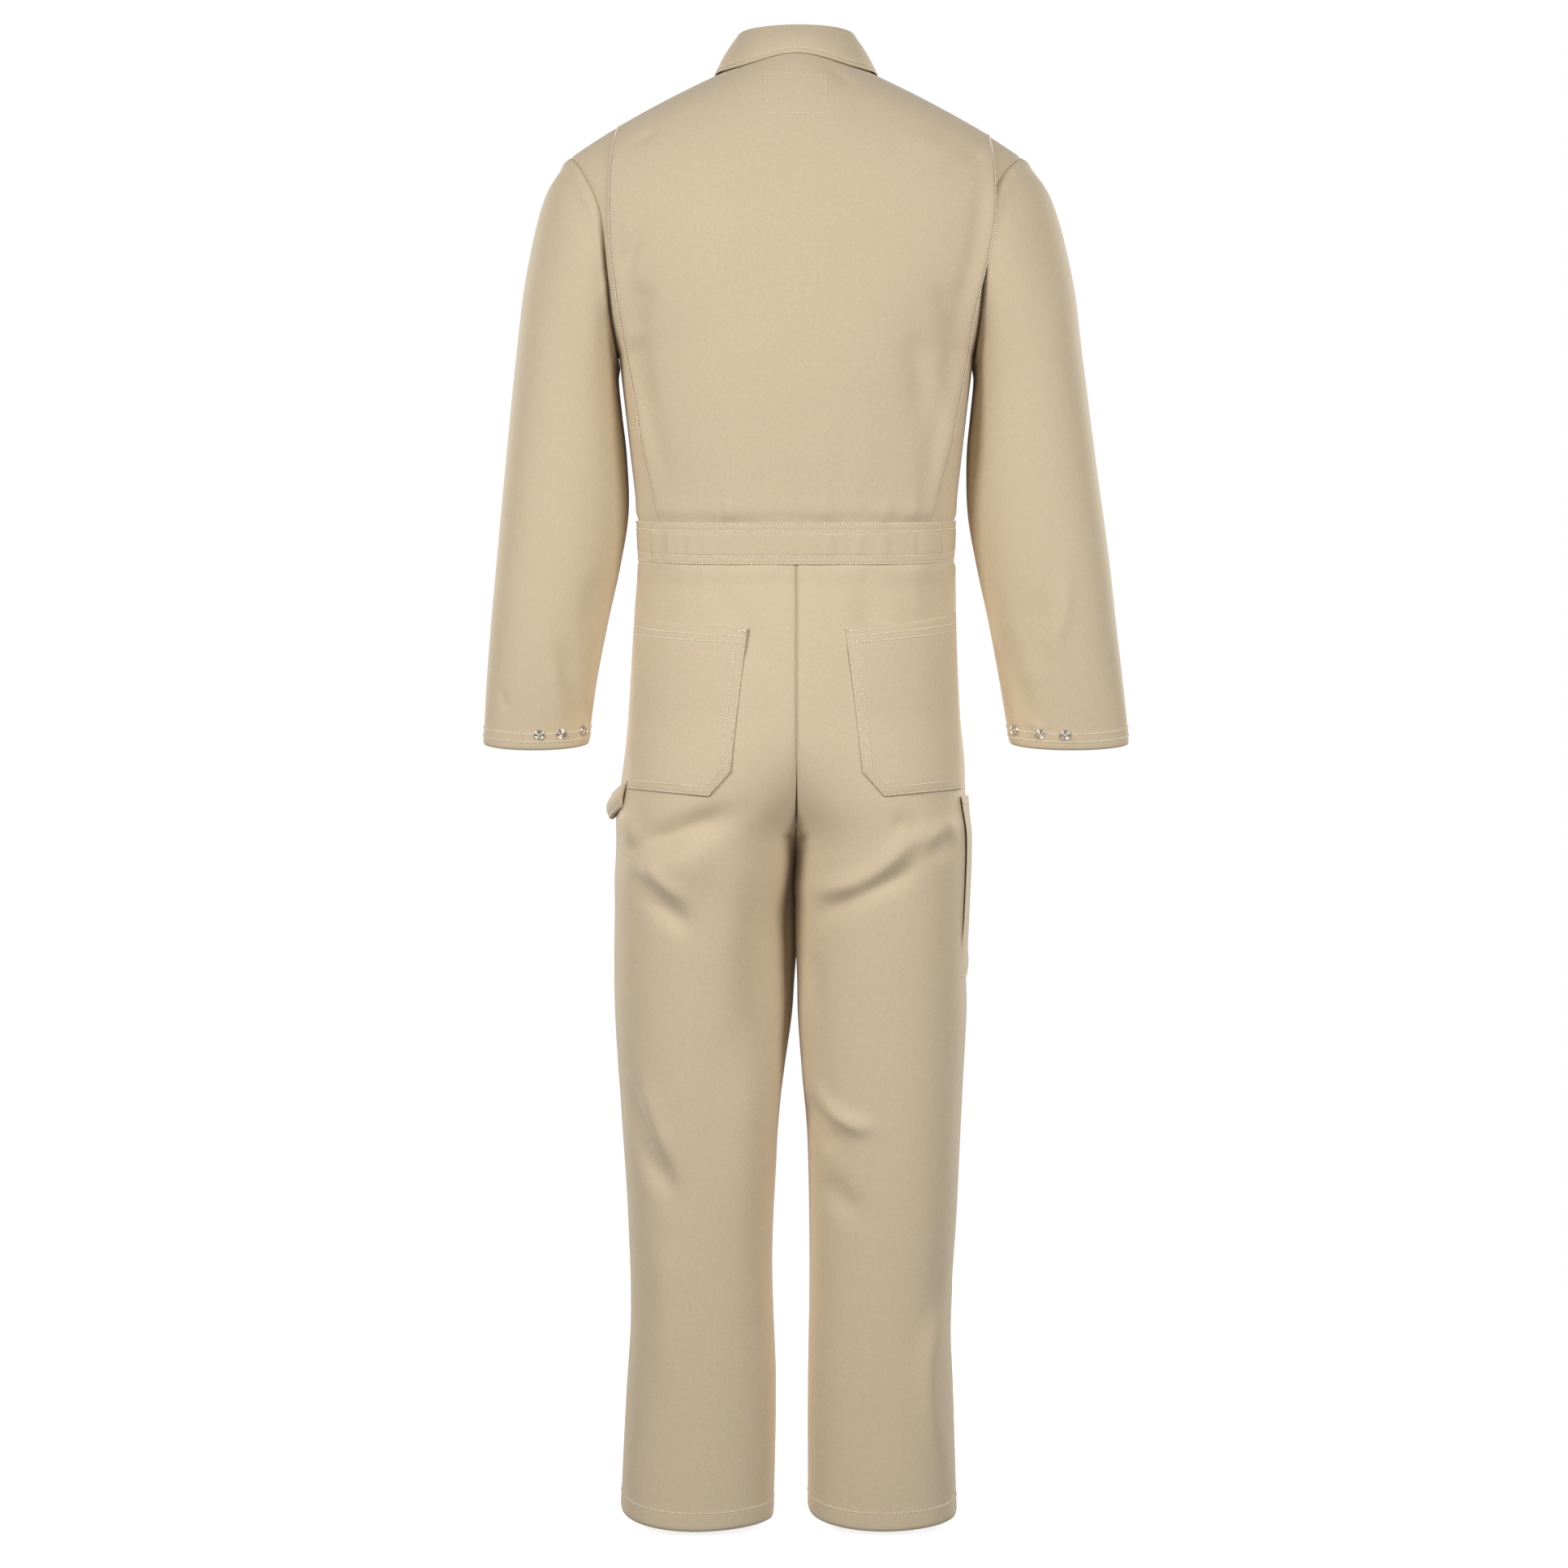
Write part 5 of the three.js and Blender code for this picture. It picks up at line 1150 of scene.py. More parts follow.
def make_trousers():
    top = WAIST_LOW + UNDER_BAND
    for side, side_word in SIDES:
        for face, word in ((BACK, "back"), (FRONT, "front")):
            low = np.linspace(0, SEAT_Z + 30, 250)
            high = np.linspace(SEAT_Z + 30, top, 50)[1:]
            u, z = np.meshgrid(np.linspace(0, 1, 78), np.concatenate([low, high]))
            rise = mix(HEM_RISE[side][0], HEM_RISE[side][1], u) * np.abs(2 * u - 1) ** 1.6
            z = z + rise * (1 - z / top) ** 2
            points = leg_point(face, side, u, z)
            x = side * points[..., 0]
            half = body_half(np.minimum(z, WAIST_LOW + 6))
            depth = BACK_DEPTH - 28 if face == BACK else FRONT_DEPTH
            band_y = depth * rounded(np.minimum(1, np.abs(x) / half), BODY_ROUND) + SEAM / 2
            points[..., 1] = mix(points[..., 1], face * band_y, smooth((z - WAIST_LOW + 45) / 45))
            cloth = Cloth(points, vec(0.3 * side * (u - 0.5), face * np.ones_like(u), 0 * u))
            across, up = cloth.lengths()
            outer_gap, inner_gap = across[:, -1:] - across, across
            table = SEAT_FOLDS[side] if face == BACK else LEG_FRONT_FOLDS
            seat = smooth((z - INSEAM) / 30)
            height = folds(x, z, table) + gentle(x * side, z, 100 + side + 3 * face, 55, 1.3) * smooth((top - z) / 60)
            height = height * smooth(np.minimum(outer_gap, inner_gap + 6 * seat) / 9)
            below = smooth((WAIST_LOW - z) / 8)
            height += ripples(x, 110 + side + 3 * face, 17) * bell(top - z, 26) * 1.5 * below
            height += ripples(x, 120 + side + 3 * face, 34) * bell(top - z, 75) * 1.8 * below
            height += tuck_under(WAIST_LOW - z) + seam_dip(outer_gap, 0.7, 3.0)
            if side == RIGHT:
                height -= tool_side_dip(z) * bell(outer_gap, 50)
            height += seam_dip(inner_gap, 1.6, 3.0) * (1 - 0.2 * seat)
            height += seam_dip(up - HEM, 0.4, 1.3) + 0.3 * smooth((HEM - up) / 2)
            cloth.push(height)
            inner = side * cloth.points[:, :1, 0]
            open_fly = FLY_EDGE * smooth((z[:, :1] - FLY_LOW + 1.5) / 5.5) if face == FRONT else 0
            meeting = (open_fly - 0.15 - inner) * smooth((z[:, :1] - 585) / 70)
            cloth.points[..., 0] += side * meeting * bell(inner_gap, 22)
            cloth.draw_in(1, -0.4 * face, outer_gap, 0.8)
            cloth.draw_in(1, -0.4 * face, np.where(z < INSEAM, inner_gap, 1e3), 0.8)
            thickness = CLOTH + 0.9 * smooth((HEM - up) / 2)
            add_cloth(f"trouser_{word}_cloth_{side_word}", cloth, f"trouser_{word}_{side_word}", thickness=thickness)
            trouser_cloth[face, side] = cloth
            sew("root", cloth.beside_row(False, HEM))
            if face == FRONT:
                for inset, low_share in zip(CHEST_ROWS, (0.88, 0.86)):
                    sew("root", cloth.beside_column(False, inset, low_share, 0.995))


def polyline(corners, step=1.5):
    """Evenly spaced points along straight lines between corners."""
    out = []
    for a, b in zip(corners[:-1], corners[1:]):
        a, b = np.array(a, float), np.array(b, float)
        count = max(2, int(np.linalg.norm(b - a) / step))
        out.append(a + (b - a) * np.linspace(0, 1, count, endpoint=False)[:, None])
    return np.concatenate(out + [np.array([corners[-1]], float)])


def inset_outline(corners, inset):
    """A closed outline moved inwards by a distance, corner by corner."""
    pts = np.array(corners, float)
    area = 0.5 * np.sum(pts[:, 0] * np.roll(pts[:, 1], -1) - np.roll(pts[:, 0], -1) * pts[:, 1])
    inward = 1 if area > 0 else -1
    result = []
    for i in range(len(pts)):
        a, b, c = pts[i - 1], pts[i], pts[(i + 1) % len(pts)]
        d1, d2 = unit(b - a), unit(c - b)
        n1, n2 = np.array([-d1[1], d1[0]]) * inward, np.array([-d2[1], d2[0]]) * inward
        result.append(b + (n1 + n2) / (1 + n1 @ n2) * inset)
    return result


def patch_grid(corners_low, corners_high, columns, rows):
    """Grid of (x, z) between a lower and an upper polyline, each of (x, z, share)."""
    u = np.linspace(0, 1, columns)

    def line(points):
        shares = [p[2] for p in points]
        return [np.interp(u, shares, [p[i] for p in points]) for i in (0, 1)]
    low, high = line(corners_low), line(corners_high)
    v = np.linspace(0, 1, rows)[:, None]
    return mix(low[0][None], high[0][None], v), mix(low[1][None], high[1][None], v)


def make_back_pockets():
    top_z = WAIST_LOW - POCKET_BELOW_BAND
    inner_x, outer_x = 52, 174
    for side, word in SIDES:
        outer_rise = 2 if side == LEFT else 7
        growth = 9 if side == LEFT else 5
        mouth = [(inner_x, top_z - 7, 0), (outer_x, top_z + outer_rise, 1)]
        base = [(inner_x + 18, top_z - 171, 0), (inner_x + 42, top_z - 198, 0.2), (outer_x + growth, top_z - 190, 1)]
        x, z = patch_grid(base, mouth, 76, 110)
        cloth = Cloth(lifted_trouser(BACK, side, x, z, np.full(x.shape, PATCH_LIFT)), np.array([0.2 * side, 1.0, 0]))
        near = edge_distance(cloth)
        _, up = cloth.lengths()
        mouth_gap = up[-1] - up
        height = 1.3 * smooth(near / 16) - 1.5 * np.exp(-near / 2.5) + gentle(x * side, z, 130 + side, 34, 0.5)
        height -= 0.35 * bell(near - 2.2, 1.1) + 0.35 * bell(near - 10.2, 1.2)
        height += 1.4 * bell(mouth_gap, 5) * smooth(near / 3)
        height -= 0.35 * bell(mouth_gap - 12, 1.2) + 0.4 * bell(mouth_gap - 20, 1.2)
        cloth.push(height)
        thickness = CLOTH + 1.1 * smooth((21 - mouth_gap) / 2) + 0.6 * smooth((9 - near) / 2)
        add_cloth(f"back_pocket_cloth_{word}", cloth, f"back_pocket_{word}", thickness=thickness)
        sew("root", cloth.beside_row(True, 12, 0.03, 0.985))
        sew("root", cloth.beside_row(True, 20, 0.03, 0.985))
        for inset in POCKET_ROWS:
            outline = [(inner_x, top_z - 7), (inner_x + 18, top_z - 171), (inner_x + 42, top_z - 198),
                       (outer_x + growth, top_z - 190), (outer_x, top_z + outer_rise)]
            ring = inset_outline(outline, inset)
            start = ring[0] if inset < 5 else mix(np.array(ring[0]), np.array(ring[1]), 0.05)
            route = polyline([start, ring[1], ring[2], ring[3]])
            sew("root", patch_path(cloth, x, z, route))
        make_tack(cloth, x, z, (inner_x + 6.5, top_z - 11))


def patch_path(cloth, x, z, route):
    """Points of a patch's own cloth nearest to a route of (x, z)."""
    tree_points = np.stack([x.ravel(), z.ravel()], -1)
    points, normals = [], []
    flat_points, flat_normals = cloth.points.reshape(-1, 3), cloth.normals.reshape(-1, 3)
    for target in route:
        distance = np.sum((tree_points - target) ** 2, axis=1)
        near = np.argpartition(distance, 4)[:4]
        weight = 1 / (distance[near] + 0.05)
        weight /= weight.sum()
        points.append(weight @ flat_points[near])
        normals.append(weight @ flat_normals[near])
    return np.array(points), unit(np.array(normals))


def make_tack(cloth, x, z, at):
    """A bar tack: a short dense block of zigzag thread at a pocket corner."""
    points, normals = patch_path(cloth, x, z, [at])
    across = unit(np.cross(normals[0], [0, 0, 1.0]))
    rows = []
    for i in range(9):
        offset = across * mix(-3.4, 3.4, i / 8)
        for shift in (-0.75, 0.75):
            rows.append((points[0] + offset + np.array([0, 0, shift]), normals[0]))
    sew("root", (np.array([row[0] for row in rows]), np.array([row[1] for row in rows])))


def tool_side_dip(z):
    """How far the right leg's side is drawn in under its tool pocket."""
    return 3.2 * smooth((z - 560) / 60) * smooth((850 - z) / 50)


def make_side_pieces():
    ruler_top = WAIST_LOW - TOOL_POCKET_DROP
    turn, z = np.meshgrid(np.linspace(0.5, -0.62, 90), np.linspace(ruler_top - 200, ruler_top, 100))
    drawn_in = tool_side_dip(z) * bell(turn * 85, 50)
    cloth = Cloth(wrap_point(RIGHT, turn, z, 1.6 - drawn_in), vec(-np.cos(turn), np.sin(turn), 0 * turn))
    near = edge_distance(cloth)
    slack = smooth((turn + 0.2) / 0.5) * smooth((z - ruler_top + 190) / 60)
    cloth.push(0.3 * smooth(near / 10) - 0.7 * np.exp(-near / 2) * (1 - slack) + gentle(turn * 150, z, 140, 30, 0.6)
               + 2.4 * slack * np.exp(-near / 5)
               + 1.8 * bell(z - ruler_top + 185, 12) * bell(turn - 0.02, 0.12))
    add_cloth("ruler_pocket_cloth", cloth, "ruler_pocket", thickness=1.3)
    sew("root", cloth.beside_row(True, 8))
    sew("root", cloth.beside_row(False, 2.5))

    t, v = np.meshgrid(np.linspace(0, 1, 70), np.linspace(0, 1, 16))
    sag = np.sin(t * math.pi)
    z = mix(ruler_top - 12, ruler_top + 17, v) - 15 * sag
    points = wrap_point(LEFT, mix(0.42, -0.5, t), z, 2.2 + 9 * sag ** 0.8 * (0.5 + 0.5 * np.sin(v * math.pi)))
    turn = mix(0.42, -0.5, t)
    cloth = Cloth(points, vec(np.cos(turn), np.sin(turn), 0 * turn))
    cloth.push(2.0 * np.sin(v * math.pi))
    add_cloth("hammer_loop_cloth", cloth, "hammer_loop", thickness=1.8)
    for last in (False, True):
        sew("root", cloth.beside_row(last, 3, 0.06, 0.94))


def make_hand_pockets():
    for side, word in SIDES:
        mouth_z = WAIST_LOW - 12
        base_z = mouth_z - 225
        x, z = patch_grid([(70, base_z, 0), (160, base_z, 1)], [(60, mouth_z, 0), (150, mouth_z, 1)], 24, 50)
        cloth = Cloth(lifted_trouser(FRONT, side, x, z, np.full(x.shape, -5.2)), np.array([0.2 * side, -1.0, 0]))
        cloth.push(gentle(x, z, 150, 30, 0.4))
        add_cloth(f"hand_pocket_cloth_{word}", cloth, f"hand_pocket_bag_{word}", thickness=1.0)
        shell = trouser_cloth[FRONT, side]
        grid_x, grid_z = side * shell.points[..., 0], shell.points[..., 2]
        for inset in (0.0, 7.0):
            route = polyline([(92 - inset, WAIST_LOW - 3), (150 - inset, WAIST_LOW - 150)])
            sew("root", patch_path(shell, grid_x, grid_z, route))


def make_chest_pockets():
    top = TIP_Z - CHEST_POCKET_DROP
    low = top - CHEST_POCKET_DEPTH
    near_x, far_x = CHEST_POCKET_X
    for side, word in SIDES:
        x, z = patch_grid([(near_x, low, 0), (far_x, low, 1)], [(near_x, top, 0), (far_x, top, 1)], 60, 72)
        cloth = Cloth(lifted_body(FRONT, side * x, z, np.full(x.shape, PATCH_LIFT)), np.array([0.2 * side, -1.0, 0]))
        near = edge_distance(cloth)
        cloth.push(1.0 * smooth(near / 14) - 1.2 * np.exp(-near / 2.2) - 0.3 * bell(near - 2.4, 1.1))
        add_cloth(f"chest_pocket_cloth_{word}", cloth, f"chest_pocket_{word}", thickness=1.3)
        for inset in CHEST_ROWS:
            ring = inset_outline([(near_x, top), (near_x, low), (far_x, low), (far_x, top)], inset)
            sew("root", patch_path(cloth, x, z, polyline(ring)))
        make_flap(side, word, TIP_Z - FLAP_DROP)


def chest_at(side, z):
    """The middle of a chest pocket at one height, and the level direction that it faces."""
    centre, height = np.array([side * (CHEST_POCKET_X[0] + CHEST_POCKET_X[1]) / 2]), np.array([float(z)])
    normal = surface_normal(lambda px, pz: body_point(FRONT, px, pz), FRONT, centre, height)[0]
    normal[2] = 0
    return body_point(FRONT, centre, height)[0], unit(normal)


def make_flap(side, word, top_z):
    """A flap with a pointed lower edge, hanging straight from the row that it is sewn on."""
    middle, normal = chest_at(side, top_z)
    along = np.array([-normal[1], normal[0], 0]) * FLAP_HALF
    foot = middle + normal * (PATCH_LIFT + FLAP_STAND)
    u, v = np.meshgrid(np.linspace(0, 1, 70), np.linspace(0, 1, 34))
    drop = FLAP_DEPTH - 9 * np.abs(2 * u - 1)
    points = foot + along * (2 * u - 1)[..., None] + np.array([0, 0, -1.0]) * (drop * (1 - v))[..., None]
    cloth = Cloth(points, normal)
    near = edge_distance(cloth)
    cloth.push(0.5 * smooth(near / 8) - 0.3 * bell(near - 2.2, 1.0)
               - 0.3 * bell(near - 8.2, 1.0) + gentle(u * 100, v * 46, 160 + side, 20, 0.2))
    body = f"chest_flap_{word}"
    piece = add_cloth(f"chest_flap_cloth_{word}", cloth, f"chest_flap_{word}", body=body, thickness=1.9)
    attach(piece, body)
    for inset in CHEST_ROWS:
        sew(body, cloth.beside_row(False, inset, 0.02, 0.98))
        for last in (False, True):
            sew(body, cloth.beside_column(last, inset, 0.06, 1.0))
        sew(body, cloth.beside_row(True, inset, 0.02, 0.98))


def make_label():
    top = float(back_neck_z(np.array([0.0]), NECK_HALF, NECK_BACK)[0]) - 16
    x, z = patch_grid([(-33, top - 46, 0), (33, top - 46, 1)], [(-33, top, 0), (33, top, 1)], 24, 18)
    cloth = Cloth(lifted_body(BACK, x, z, np.full(x.shape, PLEAT_LIFT - 3.2)), np.array([0, 1.0, 0.3]))
    add_cloth("neck_label_satin", cloth, "neck_label", thickness=0.6,
              finish="woven label satin")


# ---- Zip ----------------------------------------------------------------------------------------
CHAIN_FRONT = -FRONT_DEPTH + 1.1


def box_part(sizes, centre, bevel):
    """Vertices and faces of a box with its long edges cut off, as an eight-sided prism along z."""
    hx, hy, hz = (s / 2 for s in sizes)
    ring = [(hx - bevel, -hy), (hx, -hy + bevel), (hx, hy - bevel), (hx - bevel, hy),
            (-hx + bevel, hy), (-hx, hy - bevel), (-hx, -hy + bevel), (-hx + bevel, -hy)]
    vertices = [(centre[0] + x, centre[1] + y, centre[2] + z) for z in (-hz, hz) for x, y in ring]
    faces = [tuple(reversed(range(8))), tuple(range(8, 16))]
    faces += [(i, (i + 1) % 8, (i + 1) % 8 + 8, i + 8) for i in range(8)]
    return vertices, faces


def joined(parts):
    vertices, faces = [], []
    for part_vertices, part_faces in parts:
        start = len(vertices)
        vertices += part_vertices
        faces += [tuple(i + start for i in face) for face in part_faces]
    return vertices, faces


def solid_piece(name, parts, node, body, bevel):
    """A cast brass piece of the zip, made of a few closed parts, with its edges rounded."""
    vertices, faces = joined(parts)
    mesh = mesh_from(name, place(np.array(vertices), hanging=False), faces, smooth_faces=False)
    zip_metal(new_object(name, mesh, finish_of("cast brass")), node, body, bevel)


def zip_metal(piece, node, body, bevel):
    """Rounds a metal piece's edges and says which node and body it belongs to."""
    modifier = piece.modifiers.new("edges", "BEVEL")
    modifier.width = bevel / 1000
    modifier.segments = 2
    modifier.limit_method = "ANGLE"
    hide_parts(node)
    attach(piece, body)


def repeat_tree(name):
    """Geometry Nodes that set one small shape at even steps along the edges of a mesh.

    Inputs: the step, and the shape to repeat. Each copy's x axis follows the line and its z axis the
    stored normal."""
    tree = bpy.data.node_groups.new(name, "GeometryNodeTree")
    tree.interface.new_socket("Geometry", in_out="INPUT", socket_type="NodeSocketGeometry")
    step = tree.interface.new_socket("Step", in_out="INPUT", socket_type="NodeSocketFloat")
    step.default_value = 0.003
    tree.interface.new_socket("Shape", in_out="INPUT", socket_type="NodeSocketObject")
    tree.interface.new_socket("Finish", in_out="INPUT", socket_type="NodeSocketMaterial")
    tree.interface.new_socket("Geometry", in_out="OUTPUT", socket_type="NodeSocketGeometry")
    given = add_node(tree, "NodeGroupInput")
    curve = add_node(tree, "GeometryNodeMeshToCurve", links={"Mesh": given.outputs["Geometry"]})
    even = add_node(tree, "GeometryNodeResampleCurve", {"mode": "LENGTH"},
                    {"Curve": curve.outputs[0], "Length": given.outputs["Step"]})
    normal = add_node(tree, "GeometryNodeInputNamedAttribute", {"data_type": "FLOAT_VECTOR", "Name": "up"})
    tangent = add_node(tree, "GeometryNodeInputTangent")
    shape = add_node(tree, "GeometryNodeObjectInfo", links={"Object": given.outputs["Shape"]})
    along = add_node(tree, "FunctionNodeAlignRotationToVector", {"axis": "X"}, {"Vector": tangent.outputs[0]})
    upright = add_node(tree, "FunctionNodeAlignRotationToVector", {"axis": "Z", "pivot_axis": "X"},
                       {"Rotation": along.outputs[0], "Vector": normal.outputs[0]})
    copies = add_node(tree, "GeometryNodeInstanceOnPoints", links={
        "Points": even.outputs[0], "Instance": shape.outputs["Geometry"], "Rotation": upright.outputs[0]})
    real = add_node(tree, "GeometryNodeRealizeInstances", links={"Geometry": copies.outputs[0]})
    coated = add_node(tree, "GeometryNodeSetMaterial", links={
        "Geometry": real.outputs[0], "Material": given.outputs["Finish"]})
    add_node(tree, "NodeGroupOutput", links={"Geometry": coated.outputs[0]})
    return tree


def repeat_along(name, paths, step, shape, finish, hanging):
    """Bakes copies of shape along paths into one plain mesh and returns its object."""
    vertices, edges, ups = [], [], []
    for points, normals in paths:
        start = len(vertices)
        vertices += [tuple(p) for p in place(points, hanging)]
        ups += [tuple(n) for n in normals]
        edges += [(start + i, start + i + 1) for i in range(len(points) - 1)]
    mesh = bpy.data.meshes.new(name + "_line")
    mesh.from_pydata(vertices, edges, [])
    mesh.attributes.new("up", "FLOAT_VECTOR", "POINT").data.foreach_set("vector", np.array(ups, np.float32).ravel())
    line = new_object(name + "_line", mesh, None)
    tree = bpy.data.node_groups.get("Repeat along line") or repeat_tree("Repeat along line")
    modifier = line.modifiers.new("repeat", "NODES")
    modifier.node_group = tree
    sockets = {item.name: item.identifier for item in tree.interface.items_tree if item.in_out == "INPUT"}
    modifier[sockets["Step"]] = step / 1000
    modifier[sockets["Shape"]] = shape
    modifier[sockets["Finish"]] = finish_of(finish)
    graph = bpy.context.evaluated_depsgraph_get()
    baked = bpy.data.meshes.new_from_object(line.evaluated_get(graph))
    line.modifiers.clear()
    bpy.data.objects.remove(line)
    baked.name = name
    for attribute in [a for a in baked.attributes if a.name == "up"]:
        baked.attributes.remove(attribute)
    baked.polygons.foreach_set("use_smooth", [True] * len(baked.polygons))
    return new_object(name, baked, finish_of(finish))


def small_shape(name, vertices, faces):
    mesh = mesh_from(name, np.array(vertices) / 1000, faces)
    piece = bpy.data.objects.new(name, mesh)
    bpy.context.scene.collection.objects.link(piece)
    piece.hide_render = True
    piece.hide_viewport = False
    return piece


def stitch_shape(length, width, height):
    """A flattened grain of thread, six-sided, pointed at both ends."""
    sides = 6
    stations = [(-0.5, 0.0), (-0.42, 0.62), (-0.15, 1.0), (0.15, 1.0), (0.42, 0.62), (0.5, 0.0)]
    vertices, faces = [(-0.5 * length, 0, -0.3 * height)], []
    for at, size in stations[1:-1]:
        for k in range(sides):
            angle = 2 * math.pi * k / sides
            arch = height * 0.35 * (1 - (2 * at) ** 2)
            vertices.append((at * length, math.cos(angle) * width / 2 * size,
                             math.sin(angle) * height / 2 * size + arch))
    vertices.append((0.5 * length, 0, -0.3 * height))
    for k in range(sides):
        n = (k + 1) % sides
        faces.append((0, 1 + n, 1 + k))
        for ring in range(3):
            a = 1 + ring * sides
            faces.append((a + k, a + n, a + sides + n, a + sides + k))
        end = 1 + 3 * sides
        faces.append((end + k, end + n, len(vertices) - 1))
    return small_shape("stitch", vertices, faces)


def make_stitches():
    sizes = bpy.context.scene.coverall_sizes
    pitch = sizes.stitch_pitch * 1000
    shape = stitch_shape(pitch * 0.8, sizes.thread_width * 1000, 0.85)
    parting = WAIST_LOW - 5
    groups = {"stitches_upper": ("root", lambda z: z >= parting), "stitches_lower": ("root", lambda z: z < parting)}
    for body in ("sleeve_left", "sleeve_right", "chest_flap_left", "chest_flap_right"):
        groups[f"stitches_{body}"] = (body, lambda z: True)
    for name, (body, keep) in groups.items():
        paths = [path for path in stitch_paths[body] if keep(float(np.mean(path[0][:, 2])))]
        piece = repeat_along(name, paths, pitch, shape, "polyester thread", hanging=body == "root")
        if body.startswith("sleeve"):
            bend_sleeve(piece, LEFT if body.endswith("left") else RIGHT)
        else:
            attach(piece, body)
    bpy.data.objects.remove(shape)


def make_zip():
    chain_y = CHAIN_FRONT + 1.5
    tape_y = float(body_point(FRONT, np.array([13.5]), np.array([float(ZIP_TOP)]))[0, 1]) + 2.5
    pitch = bpy.context.scene.coverall_sizes.tooth_pitch * 1000
    for side, word in SIDES:
        tooth = joined([box_part((1.3, 2.9, 2.4), (0, 0, 0), 0.3), box_part((0.9, 1.3, 1.2), (0, 1.6, 0), 0.25)])
        shape = small_shape("tooth", *tooth)
        z = np.linspace(ZIP_LOW + 1 + (0.65 if side == LEFT else 0), ZIP_TOP - 1, 40)
        points = vec(np.full(40, side * 2.0), np.full(40, chain_y), z)
        normals = np.tile([0, -1.0, 0], (40, 1))
        piece = repeat_along(f"zip_teeth_{word}", [(points, normals)], pitch, shape, "cast brass", hanging=False)
        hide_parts(f"zip_chain_{word}")
        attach(piece, "root")
        bpy.data.objects.remove(shape)
        u, z = np.meshgrid(np.linspace(0, 1, 12), np.linspace(ZIP_LOW, ZIP_TOP, 220))
        tape = vec(side * mix(3.2, 13.6, u), tape_y - 1.4 * bell(u - 0.02, 0.12), z)
        cloth = Cloth(tape, np.array([0, -1.0, 0]))
        add_cloth(f"zip_tape_cloth_{word}", cloth, f"zip_tape_{word}", thickness=0.8,
                  finish="woven zip tape")
    stop = [box_part((6.8, 3.0, 4.0), (0, chain_y, ZIP_LOW - SEAM - 2), 0.6)]
    solid_piece("zip_stop", stop, "zip_bottom_stop", "root", 0.3)
    make_slider("top", ZIP_TOP - 13 - 2, 1)
    make_slider("bottom", ZIP_LOW + 2, -1)


def plate(outline, y, thickness):
    """A flat plate from an (x, z) outline."""
    n = len(outline)
    vertices = [(x, y, z) for x, z in outline] + [(x, y + thickness, z) for x, z in outline]
    faces = [tuple(range(n)), tuple(reversed(range(n, 2 * n)))]
    faces += [(i + n, (i + 1) % n + n, (i + 1) % n, i) for i in range(n)]
    return vertices, faces


def make_slider(word, low, sign):
    """A cast slider: two shield-shaped plates round the chain, a bail and a pull tab hanging on it."""
    middle = low + 6.5
    shield = [(-5.5, 4.5), (-5.2, 6.0), (-1.5, 6.5), (1.5, 6.5), (5.2, 6.0), (5.5, 4.5), (5.3, 0.5),
              (4.2, -4.5), (3.6, -6.4), (-3.6, -6.4), (-4.2, -4.5), (-5.3, 0.5)]
    shield = [(x, middle + sign * z) for x, z in shield]
    if sign > 0:
        shield = shield[::-1]
    front = CHAIN_FRONT - 0.5 - 1.4
    back = CHAIN_FRONT + 3.0 + 0.5
    parts = [plate(shield, front, 1.4), plate(shield, back, 1.4)]
    parts.append(box_part((0.9, back - front + 0.5, 11), (0, (front + back) / 2 + 0.5, middle), 0.2))
    reach = front - 4.2
    for z in (middle - 3.85, middle + 3.85):
        parts.append(box_part((1.8, 4.6, 1.3), (0, front - 1.9, z), 0.35))
    parts.append(box_part((1.8, 1.3, 9.0), (0, reach + 0.65, middle), 0.35))
    solid_piece(f"zip_slider_body_{word}", parts, f"zip_slider_{word}", f"zip_slider_{word}", 0.25)
    axis_y = reach + 1.3 + 1.3
    axis_z = middle - 4.5 + 1.3 + 0.9
    outline = []
    for k in range(13):
        angle = math.pi + math.pi * k / 12
        outline.append((4.0 * math.cos(angle), axis_z - 26 + 4.0 * math.sin(angle)))
    outline += [(3.4, axis_z - 14), (2.9, axis_z - 9.6), (2.9, axis_z + 0.1), (2.4, axis_z + 0.6),
                (-2.4, axis_z + 0.6), (-2.9, axis_z + 0.1), (-2.9, axis_z - 9.6), (-3.4, axis_z - 14)]
    hole = [(1.8 * math.cos(a), axis_z - 25 + 1.8 * math.sin(a)) for a in np.linspace(0, 2 * math.pi, 17)[:-1]]
    slot = [(-1.5, axis_z - 0.6), (-1.5, axis_z - 8.4), (-0.9, axis_z - 9.0), (0.9, axis_z - 9.0),
            (1.5, axis_z - 8.4), (1.5, axis_z - 0.6)]
    pull = pierced_plate(f"zip_pull_tab_{word}", outline, [hole, slot], axis_y - 0.6, 1.2)
    piece = new_object(f"zip_pull_tab_{word}", pull, finish_of("cast brass"))
    zip_metal(piece, f"zip_pull_{word}", f"zip_pull_{word}", 0.22)


